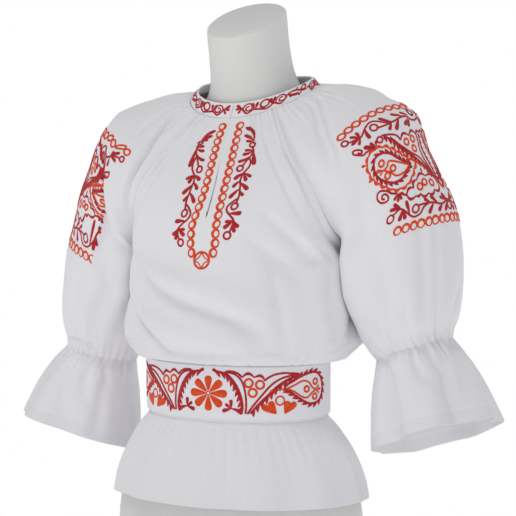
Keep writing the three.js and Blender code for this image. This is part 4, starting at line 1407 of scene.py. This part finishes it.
# Half of the block. Its middle, u = 0, is the outermost line of the sleeve.
SLEEVE_RED_STEMS = [
    [(-103, 118), (-96, 121), (-89, 124), (-83, 122), (-75, 118), (-65, 116), (-58, 120),
     (-50, 131), (-40, 136), (-28, 136), (-16, 138), (-9, 144), (0, 146)],
    [(-63, 130.5), (-56, 133), (-46, 135.5)],
    [(-85, 150), (-91, 147), (-97, 146), (-102, 146), (-107, 141), (-111, 135), (-108, 131.5),
     (-103, 135), (-100, 140), (-103, 142), (-106, 138)],
    [(-68, 142), (-62, 145), (-55, 149), (-49, 154), (-46, 162)],
    [(-59, 151), (-51, 166), (-38, 182), (-25, 194), (-15, 212), (-8, 224), (-1, 238)],
    [(-11, 164), (-13, 175), (-16, 184), (-17, 194), (-13, 210), (-4, 232)],
    [(-82, 219), (-89, 214), (-94, 207), (-101, 201.5), (-106, 201.5), (-109, 207), (-107, 214),
     (-101, 218.5), (-95.5, 218), (-95, 213), (-98, 208.5), (-102, 208.5), (-103, 212),
     (-100, 214.5)],
    [(-82, 221), (-77, 223), (-70, 228.5)],
    [(-94, 242), (-86, 240), (-82, 241), (-77, 247), (-72, 255), (-66, 260), (-57, 260),
     (-50, 254), (-42, 252), (-34, 253), (-23, 257), (-14, 258), (-5, 255), (0, 254)],
    [(-58, 249), (-49, 250), (-42, 251.5)],
]
SLEEVE_RED_RINGS = [((-107, 114), 4.2), ((-67, 126), 5), ((0, 135), 4.6), ((-73, 145), 4),
                    ((-99, 244.5), 5), ((-62, 251), 5), ((0, 261.5), 5)]
SLEEVE_LEAVES = [
    ((-89, 124), (-97, 112), 3.2), ((-89, 124), (-87, 113), 3.4), ((-90, 124), (-104, 123), 3.2),
    ((-90, 125), (-98, 131), 3.2), ((-76, 119), (-81, 135), 4, 1.5),
    ((-42, 135), (-52, 119), 3.4, -1),
    ((-44, 136), (-54, 143), 3.4), ((-31, 137), (-45, 148), 4), ((-21, 136), (-35, 125), 3.2),
    ((-15, 142), (-27, 148), 3.8), ((-13, 143), (-21, 152), 3.2), ((-10, 138), (-20, 129), 2.8),
    ((-83, 150), (-96, 138), 4.2), ((-83, 149), (-86, 139), 4.4), ((-82, 149), (-78, 142), 4.2),
    ((-34, 213), (-34, 206), 3.2), ((-81, 220), (-89, 225), 4, 0.5), ((-81, 220), (-84, 230), 4.2),
    ((-80, 221), (-78, 230), 4), ((-80, 220), (-73, 224), 3.8),
    ((-83, 241), (-98, 233), 3.4, 1), ((-82, 240), (-91, 228.5), 3.4), ((-81, 243), (-88, 255), 4),
    ((-80, 243), (-79, 257), 4), ((-72, 254), (-73, 234), 3.4), ((-33, 254), (-44, 265), 4.2),
    ((-38, 252), (-47, 244), 3), ((-25, 256), (-36, 243.5), 3.4), ((-16, 258), (-27, 266), 3.8),
    ((-3, 256), (-13, 268), 3.6), ((-4, 255), (-19, 249), 3.2), ((-3, 254), (-13, 245), 3.2),
]
PALM = [(-66, 144.5), (-58, 156), (-51, 170), (-40, 184), (-30, 197), (-24, 204), (-13, 220)]
AXIS_PALM = [(-5, 164), (-8, 178), (-9.5, 192), (-7, 210), (-2.5, 230)]
UPPER_SCALLOPS = [(-46, 162), (-28.5, 162.5), (-11, 164.5), (0, 163)]
LOWER_SCALLOPS = [(-70, 228.5), (-57, 225), (-48, 217.5), (-31, 218), (-10, 236), (-24, 238.5),
                  (-37, 240), (-50, 236), (-57, 236)]
UPPER_GRAPES = [(-37.5, 168), (-23.5, 168), (-27.5, 180)]
LOWER_GRAPES = [(-47, 227.5), (-37, 225), (-24, 229)]
PAISLEY_EDGE = [(-36, 197), (-46, 189), (-54, 178), (-61, 169), (-67, 161), (-75, 154), (-85, 150),
                (-92, 148), (-100, 151), (-105, 157), (-107, 166), (-107, 175), (-104, 185),
                (-98, 196), (-93, 203), (-86, 212), (-75, 218), (-66, 219), (-58, 216), (-50, 210),
                (-42, 203)]
PAISLEY_SAW = [(-47, 195), (-53, 190), (-62, 179), (-69, 169), (-78, 162), (-87, 160), (-93, 162),
               (-97, 168), (-98.5, 176), (-96, 187), (-89, 197), (-81, 204), (-71, 206),
               (-63, 204), (-54, 199)]
PAISLEY_RINGS = [(-86, 172), (-74, 187), (-85, 191)]
PAISLEY_HOOKS = [
    [(-50, 195.5), (-62, 185.5), (-72, 177.5), (-77, 176), (-80, 180), (-87, 181.5), (-93, 178)],
    [(-51, 196.5), (-60, 200), (-69, 200), (-75, 197), (-80, 189), (-87, 181.5)],
]
PAISLEY_STALK = [(-35, 198), (-25, 208), (-16, 220), (-7, 232), (-2, 240)]
PAISLEY_SCALLOPS = {"count": 18, "inset": 0.93, "bulge": 0.24, "width": 3.3}
PAISLEY_BUDS = [((-105, 160), (-112, 156), 5), ((-104, 182), (-111, 179.5), 5),
                ((-87, 181.5), (-97, 176), 3.6), ((-88, 181.5), (-94, 184), 3.2),
                ((-38, 198), (-31, 194), 3.6), ((-36, 199), (-29, 203), 3.4)]
GRAPE = {"sleeve": 4.2, "paisley": 3.9, "belt": 5, "belt_paisley": 3.5}         # ring radii
TOP_CHAIN = {"middle": 124, "rise": 21.5, "half": 95, "count": 17, "reach": 101,
             "radius": 4.5, "squash": 1.2}
END_CHAIN = {"middle": 277, "rise": 12, "half": 95, "count": 17, "reach": 92,
             "radius": 5, "width": 2.9}

# The right sleeve is turned on the arm. Its block lies further forward down the arm, and the front
# of it is drawn into an upright fold.
RIGHT_BLOCK_TURN = ([110, 145, 170, 200, 250, 280], [8, 35, 46, 50, 43, 42])
RIGHT_TOP_TURN = ([110, 145], [10, 6])              # of the corner that stays clear of the fold
RIGHT_BLOCK_DROP = ([110, 172, 198, 228, 245, 280], [-7, -14, -14, -8, 1, 9])
# The top of the block hangs lower towards the sleeve's middle, between two places across, and
# less so down between two places down. Its corner hangs lower at its foot.
RIGHT_TOP_TILT = {"by": 20, "across": (-105, -45), "down": (116, 150)}
RIGHT_CORNER_FOOT = {"by": 14, "down": (118, 136)}
RIGHT_BODY = {"across": (-92, -72), "down": (146, 154)}     # where the block's body takes over
# Towards the fold the block is pinched to the middle of its height, but not at its lower end.
RIGHT_PINCH = {"middle": 182, "share": 0.38, "out": (72, 112), "down": (232, 250)}
LEAST_SEEN = 3                  # points of a stroke beside the fold
RIGHT_FOLD = ([136, 143, 157, 167, 186, 220, 275], [-150, -104, -113, -122, -129, -131, -124])


def in_block_body(path):
    """1 where a path follows the turned block, 0 at the corner that stays clear of the fold."""
    u, v = path[:, 0], path[:, 1]
    return np.maximum(smooth(*RIGHT_BODY["down"], v), smooth(*RIGHT_BODY["across"], u))


def turned_block(path):
    """A path of the sleeve block, moved to where it lies on the right sleeve."""
    u, v = path[:, 0], path[:, 1]
    body = in_block_body(path)
    turn = mix(np.interp(v, *RIGHT_TOP_TURN), np.interp(v, *RIGHT_BLOCK_TURN), body)
    top = smooth(*RIGHT_TOP_TILT["across"], u) * (1 - smooth(*RIGHT_TOP_TILT["down"], v))
    out = u - turn
    down = v + np.interp(v, *RIGHT_BLOCK_DROP) + RIGHT_TOP_TILT["by"] * top
    close = smooth(*RIGHT_PINCH["out"], -out) * (1 - smooth(*RIGHT_PINCH["down"], down))
    pinch = RIGHT_PINCH["share"] * close * body * (RIGHT_PINCH["middle"] - down)
    foot = RIGHT_CORNER_FOOT["by"] * (1 - body) * smooth(*RIGHT_CORNER_FOOT["down"], v)
    return np.stack([out, down + pinch + foot], axis=-1)


def outside_fold(stroke):
    """The longest run of a stroke that the fold leaves in sight, turned with the block."""
    path, width, closed = stroke
    turned = turned_block(path)
    seen = turned[:, 0] > np.interp(turned[:, 1], *RIGHT_FOLD)
    seen |= in_block_body(path) < 0.5
    if seen.all():
        return [(turned, width, closed)]
    if closed and seen.any():
        turned = np.roll(turned, -int(np.argmin(seen)), axis=0)
        seen = np.roll(seen, -int(np.argmin(seen)))
    ends = np.flatnonzero(np.diff(np.concatenate([[0], seen.astype(int), [0]])))
    runs = ends.reshape(-1, 2)
    if not len(runs):
        return []
    first, last = max(runs, key=lambda run: run[1] - run[0])
    return [(turned[first:last], width, False)] if last - first >= LEAST_SEEN else []


def drawn_into_fold(strokes):
    return [kept for stroke in strokes for kept in outside_fold(stroke)]


def sleeve_red():
    half = lines(SLEEVE_RED_STEMS) + [ring(*row) for row in SLEEVE_RED_RINGS]
    half += leaves(SLEEVE_LEAVES)
    half += serrated(PALM, widest=5, reach=6, lean=5)
    half += serrated(AXIS_PALM, widest=3.4, reach=-4, lean=3)
    half += serrated(PAISLEY_SAW, widest=3.4, reach=4.4, lean=5, closed=True)
    half += scalloped(UPPER_SCALLOPS, bulge=-0.34)
    half += scalloped(LOWER_SCALLOPS, bulge=-0.32, width=2.9, closed=True)
    return both_sides(half)


def across_chain(chain):
    return np.linspace(-chain["reach"], chain["reach"], chain["count"])


def top_chain():
    """Rings over the block, in an arch."""
    chain = TOP_CHAIN
    strokes = []
    for u in across_chain(chain):
        bow = math.sin(math.pi / 2 * min(abs(u) / chain["half"], 1))
        centre = (u, chain["middle"] - chain["rise"] * bow)
        strokes.append(ring(centre, chain["radius"], CHAIN_LINE, chain["squash"]))
    return strokes


def end_chain():
    """Rings under the block, which sag at its middle."""
    chain = END_CHAIN
    strokes = []
    for u in across_chain(chain):
        centre = (u, chain["middle"] - chain["rise"] * (u / chain["half"]) ** 2)
        strokes.append(ring(centre, chain["radius"], heavier(chain["width"], -90)))
    return strokes


def paisley_scallops():
    cusps = spaced(smooth_path(PAISLEY_EDGE, True), PAISLEY_SCALLOPS["count"])
    cusps = mix(cusps.mean(axis=0), cusps, PAISLEY_SCALLOPS["inset"])
    return scalloped(cusps, PAISLEY_SCALLOPS["bulge"], PAISLEY_SCALLOPS["width"], closed=True)


def sleeve_orange():
    half = paisley_scallops()
    half += rings(UPPER_GRAPES + LOWER_GRAPES, GRAPE["sleeve"], CHAIN_LINE)
    half += rings(PAISLEY_RINGS, GRAPE["paisley"], CHAIN_LINE)
    half += lines(PAISLEY_HOOKS, width=2.8) + [line(PAISLEY_STALK, width=1.8)]
    half += leaves(PAISLEY_BUDS)
    return top_chain() + end_chain() + both_sides(half)


# ---------------------------------------------------------------- embroidery: on the belt

FLOWER = {"centre": (1.2, 34), "petals": 8, "base": 3.4, "reach": (25, 22), "width": 10.8,
          "eye": 2.3, "eye_line": 1.5}
BELT_BERRY = {"centre": (92, 42), "radius": 5.4, "line": 2.3}
BELT_PALMS = [
    [(11, 6), (25, 10), (35, 21), (41.5, 34), (45, 47), (45, 57)],
    [(115, 11.5), (102, 16.5), (89, 25), (76, 37), (64, 48), (54.5, 58)],
]
BELT_LINES = [
    [(23, 7), (35, 9), (44, 17), (48.5, 30), (50, 46), (49, 58)],
    [(111, 10.5), (94, 14.5), (81, 22.5), (69, 35.5), (59, 47.5), (51.5, 58)],
    [(25, 6), (33, 6), (40, 8.5), (45, 13)],
    [(73, 17), (77, 13.5), (86, 9.5), (100, 8), (111, 10.5)],
]
BELT_SCALLOPS = [(45, 13), (60, 13), (73, 17)]
BELT_SPRIG = [((31, 52), (31, 40.5), 4.4), ((31, 52), (23.5, 46), 4.2), ((31, 52), (19.5, 55.5), 4),
              ((31, 52), (45.5, 58.5), 3.6, -1.5)]
BELT_GRAPES = [(53, 20), (67, 22), (58, 32)]
BELT_SAW = [(98, 26), (111, 17), (126, 11), (141, 9), (151, 15), (155.5, 27), (153.5, 39),
            (146, 46.5), (133, 48), (120, 42), (109, 34.5)]
BELT_HOOKS = [[(101, 27.5), (111, 23.5), (122, 19), (131, 21), (137, 28), (144, 31)],
              [(101, 27.5), (111, 32), (120, 38), (129, 40), (137, 34), (144, 31)]]
BELT_PAISLEY_RINGS = [(142, 21), (128, 29.5), (141, 39.5)]
BELT_STALK = [(102, 27.5), (93, 28), (86, 31), (80, 37)]
BELT_BUDS = [((144, 31), (152, 31), 4), ((143, 30), (149, 26), 2.8), ((143, 32), (149, 36), 2.8),
             ((87, 30.5), (79, 30), 3), ((84, 33), (86, 27), 2.4), ((82, 35), (75, 37.5), 3.2),
             ((95, 28), (100, 33), 3)]
BELT_HEARTS = [((87, 58), (79, 42.5), 9.4), ((87, 58), (69, 48), 9),
               ((98, 58), (102.5, 42.5), 9.4), ((98, 58), (113, 45), 9)]
BELT_KNOBS = [((16, 8), (6.5, 4), 4), ((103, 8), (119, 12.5), 4.4)]
BELT_SHIFT = 2.2                # how far the right half is stitched towards the middle


def belt_shifted(path):
    return path + (BELT_SHIFT, 0)


def belt_red():
    half = lines(BELT_LINES) + leaves(BELT_SPRIG) + scalloped(BELT_SCALLOPS, bulge=-0.32)
    half += serrated(BELT_PALMS[0], widest=5.6, reach=6.4, lean=5)
    half += serrated(BELT_PALMS[1], widest=5, reach=-6.2, lean=5)
    half += serrated(BELT_SAW, widest=3.4, reach=-5, lean=5, closed=True)
    half += leaves(BELT_KNOBS)
    return half + warped(mirrored(half), belt_shifted)


def flower():
    middle = np.array(FLOWER["centre"])
    strokes = [ring(middle, FLOWER["eye"], FLOWER["eye_line"])]
    for k in range(FLOWER["petals"]):
        angle = 2 * math.pi * k / FLOWER["petals"]
        toward = np.array([math.sin(angle), -math.cos(angle)])
        start, tip = middle + toward * FLOWER["base"], middle + toward * FLOWER["reach"]
        strokes.append(petal(start, tip, FLOWER["width"]))
    return strokes


def belt_orange():
    half = rings(BELT_GRAPES, GRAPE["belt"], CHAIN_LINE)
    half += rings(BELT_PAISLEY_RINGS, GRAPE["belt_paisley"], CHAIN_LINE)
    half += [ring(BELT_BERRY["centre"], BELT_BERRY["radius"], BELT_BERRY["line"])]
    half += [line(BELT_STALK, width=2)] + lines(BELT_HOOKS, width=2.6)
    half += leaves(BELT_BUDS) + [petal(*row) for row in BELT_HEARTS]
    return flower() + half + warped(mirrored(half), belt_shifted)


# ---------------------------------------------------------------- embroidery: on the neckband

BAND_STEM = [(12, 10), (16, 15), (21, 19), (28, 15), (33, 15.5), (39, 17), (45, 18.5), (49, 17.5),
             (55, 13.5), (60, 16), (66, 18), (71, 12.5), (73, 7.5), (80, 5.5), (88, 7), (97, 11),
             (104, 12), (109, 9)]
BAND_SPIRALS = [
    [(14, 12), (15, 7), (20, 4.5), (25, 7), (26, 12), (22, 15.5), (18, 13), (18.5, 9.5), (22, 9)],
    [(57, 13), (57.5, 7), (63, 4), (69, 7), (70, 12), (66, 14.5), (61.5, 12), (62.5, 8), (66, 8)],
]
BAND_LEAVES = [
    ((29, 14.5), (24.5, 4.5), 3.2), ((30.5, 14.5), (32, 4.5), 3.2), ((52.5, 14), (48, 4), 3.2),
    ((53.5, 13.5), (54.5, 3.5), 3.2), ((73, 7.5), (81, 14), 3.2), ((84, 6.5), (88, 2.2), 2.8),
    ((74, 8), (92, 13.5), 3, 1.5), ((97, 12), (91, 17), 2.8),
]
BAND_SPRIG = [((12, 10), (4, 4.5), 3.4), ((12, 10), (3.5, 11), 3.2), ((12, 10), (8.5, 17.5), 3.4)]
BAND_RINGS = [((42, 9.5), 5.6), ((98.5, 6.5), 4)]
BAND_REPEAT = 98                # the pattern starts again this far along


def band_red():
    run = lines([BAND_STEM]) + lines(BAND_SPIRALS, width=2.2) + leaves(BAND_LEAVES)
    run += [ring(*row) for row in BAND_RINGS]
    return run + leaves(BAND_SPRIG) + warped(run, lambda path: path + (BAND_REPEAT, 0))


# ---------------------------------------------------------------- embroidery: thread and pieces

RED_THREAD = ((0.39, 0.012, 0.017), (0.56, 0.021, 0.03))        # darker and lighter tone
ORANGE_THREAD = ((0.68, 0.055, 0.009), (0.87, 0.09, 0.015))
THREAD_PITCH = 0.00042          # metres


def thread_material(name, dark, light):
    """Satin stitch in shiny cotton: fine threads side by side, across the line."""
    material, tree, shader = new_material(name, light, roughness=0.6, sheen=0.05)
    shader.inputs["Specular IOR Level"].default_value = 0.25
    place = tree.nodes.new("ShaderNodeTexCoord")
    fine = threads(tree, place.outputs["UV"], THREAD_PITCH, "X")
    sheen = bump(tree, fine, strength=0.35, distance=0.00012)
    tree.links.new(sheen, shader.inputs["Normal"])
    tone = noise(tree, place.outputs["Object"], scale=260, detail=3)
    colour = tinted(tree, tone, dark, light, low=0.35, high=0.65)
    tree.links.new(colour, shader.inputs["Base Color"])
    return material


def all_embroidery():
    red = thread_material("red_thread", *RED_THREAD)
    orange = thread_material("orange_thread", *ORANGE_THREAD)
    slit = Chart(body_surface(-1), 0, (0, 8))
    embroidery("slit_embroidery_orange", slit, slit_chains(), orange)
    embroidery("slit_embroidery_red", slit, slit_vines(), red)
    for side, hand in SIDES:
        arm = Chart(sleeve_surface(side), 0, (0, ELASTIC_ROW))
        bright, deep = sleeve_orange(), sleeve_red()
        if side < 0:
            bright, deep = drawn_into_fold(bright), drawn_into_fold(deep)
        embroidery(f"sleeve_{hand}_embroidery_orange", arm, bright, orange)
        embroidery(f"sleeve_{hand}_embroidery_red", arm, deep, red)
    waist = Chart(strip_surface(belt_point), 0, (0, 1))
    embroidery("belt_embroidery_orange", waist, belt_orange(), orange)
    embroidery("belt_embroidery_red", waist, belt_red(), red)
    left, right = (Chart(strip_surface(band_point), end, (0, 1)) for end in (-1, 1))
    embroidery("neckband_embroidery_left", left, band_red(), red)
    embroidery("neckband_embroidery_right", right, mirrored(band_red()), red)


all_embroidery()

# ---------------------------------------------------------------- camera, light and floor

CAMERA_DISTANCE = 2400
CAMERA_TARGET_RIGHT = 25.5      # of the form's axis, across the view
CAMERA_TARGET_HEIGHT = 460.33
AZIMUTH = math.radians(24)
ELEVATION = math.radians(4)
FOCAL_SHARE = 3.653             # focal length over the width of the frame
SENSOR = 36
CLIP_END = 100

# Metres and watts. AMBIENT is the strength of the light from all round.
AMBIENT = 0.385
SKY = (0.97, 0.985, 1, 1)
WHITE = (1, 1, 1, 1)
LIGHTS = {
    "key": {"at": (-0.4, -1.25, 3.4), "aim": (0, 0, 0.45), "size": 1.1, "power": 23,
            "colour": (1, 0.99, 0.97)},
    "fill": {"at": (2.0, -2.0, 0.8), "aim": (0, 0, 0.45), "size": 1.6, "power": 4.5},
    "low_fill": {"at": (-1.7, -2.3, 0.3), "aim": (0, 0, 0.4), "size": 1.4, "power": 6},
    "rim": {"at": (1.0, 2.0, 2.0), "aim": (0, 0, 0.5), "size": 1.2, "power": 8},
}
FLOOR = {"half": 30, "paint": (0.9, 0.9, 0.9), "roughness": 0.9,
         "painted_to": 0.12, "lit_from": 0.5}


def camera():
    """The view of the photo."""
    back = np.array([math.sin(AZIMUTH) * math.cos(ELEVATION),
                     -math.cos(AZIMUTH) * math.cos(ELEVATION), math.sin(ELEVATION)])
    right = np.array([math.cos(AZIMUTH), math.sin(AZIMUTH), 0])
    up = np.cross(back, right)
    target = right * CAMERA_TARGET_RIGHT + (0, 0, CAMERA_TARGET_HEIGHT)
    data = bpy.data.cameras.new("camera")
    data.sensor_width = SENSOR
    data.lens = FOCAL_SHARE * SENSOR
    data.clip_end = CLIP_END
    obj = bpy.data.objects.new("camera", data)
    turn = Matrix(np.stack([right, up, back], axis=1).tolist()).to_4x4()
    obj.matrix_world = Matrix.Translation(to_row(target + back * CAMERA_DISTANCE)) @ turn
    bpy.context.collection.objects.link(obj)
    bpy.context.scene.camera = obj


def area_light(name, light):
    data = bpy.data.lights.new(name, "AREA")
    data.shape = "DISK"
    data.size = light["size"]
    data.energy = light["power"]
    data.color = light.get("colour", WHITE[:3])
    obj = bpy.data.objects.new(name, data)
    obj.location = light["at"]
    direction = Vector(light["aim"]) - obj.location
    obj.rotation_euler = direction.to_track_quat("-Z", "Y").to_euler()
    bpy.context.collection.objects.link(obj)


def mixed_shaders(tree, fac, first, second, output):
    """Sends a mix of two shaders to an output node: fac 0 is the first and 1 the second."""
    both = tree.nodes.new("ShaderNodeMixShader")
    tree.links.new(fac, both.inputs["Fac"])
    tree.links.new(first.outputs[0], both.inputs[1])
    tree.links.new(second.outputs[0], both.inputs[2])
    tree.links.new(both.outputs[0], tree.nodes[output].inputs["Surface"])


def studio_world():
    """Even light from all round, against a white backdrop."""
    world = bpy.data.worlds.new("studio")
    world.use_nodes = True
    tree = world.node_tree
    lit = tree.nodes["Background"]
    lit.inputs["Strength"].default_value = AMBIENT
    lit.inputs["Color"].default_value = SKY
    shown = node(tree, "ShaderNodeBackground", Color=WHITE, Strength=1)
    path = tree.nodes.new("ShaderNodeLightPath")
    mixed_shaders(tree, path.outputs["Is Camera Ray"], lit, shown, "World Output")
    bpy.context.scene.world = world


def studio_floor():
    """A plain pale floor that brightens with distance, as a lit studio sweep does."""
    half = FLOOR["half"]
    mesh = bpy.data.meshes.new("floor")
    mesh.from_pydata([(-half, -half, 0), (half, -half, 0), (half, half, 0), (-half, half, 0)],
                     [], [(0, 1, 2, 3)])
    material, tree, shader = new_material("floor_paint", FLOOR["paint"], FLOOR["roughness"])
    place = tree.nodes.new("ShaderNodeTexCoord")
    away = node(tree, "ShaderNodeVectorMath", operation="LENGTH")
    tree.links.new(place.outputs["Object"], away.inputs[0])
    sweep = node(tree, "ShaderNodeMapRange", From_Min=FLOOR["painted_to"],
                 From_Max=FLOOR["lit_from"])
    tree.links.new(away.outputs["Value"], sweep.inputs["Value"])
    lit = node(tree, "ShaderNodeEmission", Color=WHITE, Strength=1)
    mixed_shaders(tree, sweep.outputs["Result"], shader, lit, "Material Output")
    mesh.materials.append(material)
    obj = bpy.data.objects.new("floor", mesh)
    bpy.context.collection.objects.link(obj)


camera()
studio_world()
studio_floor()
for light_name, light in LIGHTS.items():
    area_light(light_name, light)
bpy.context.scene.view_settings.view_transform = "Standard"
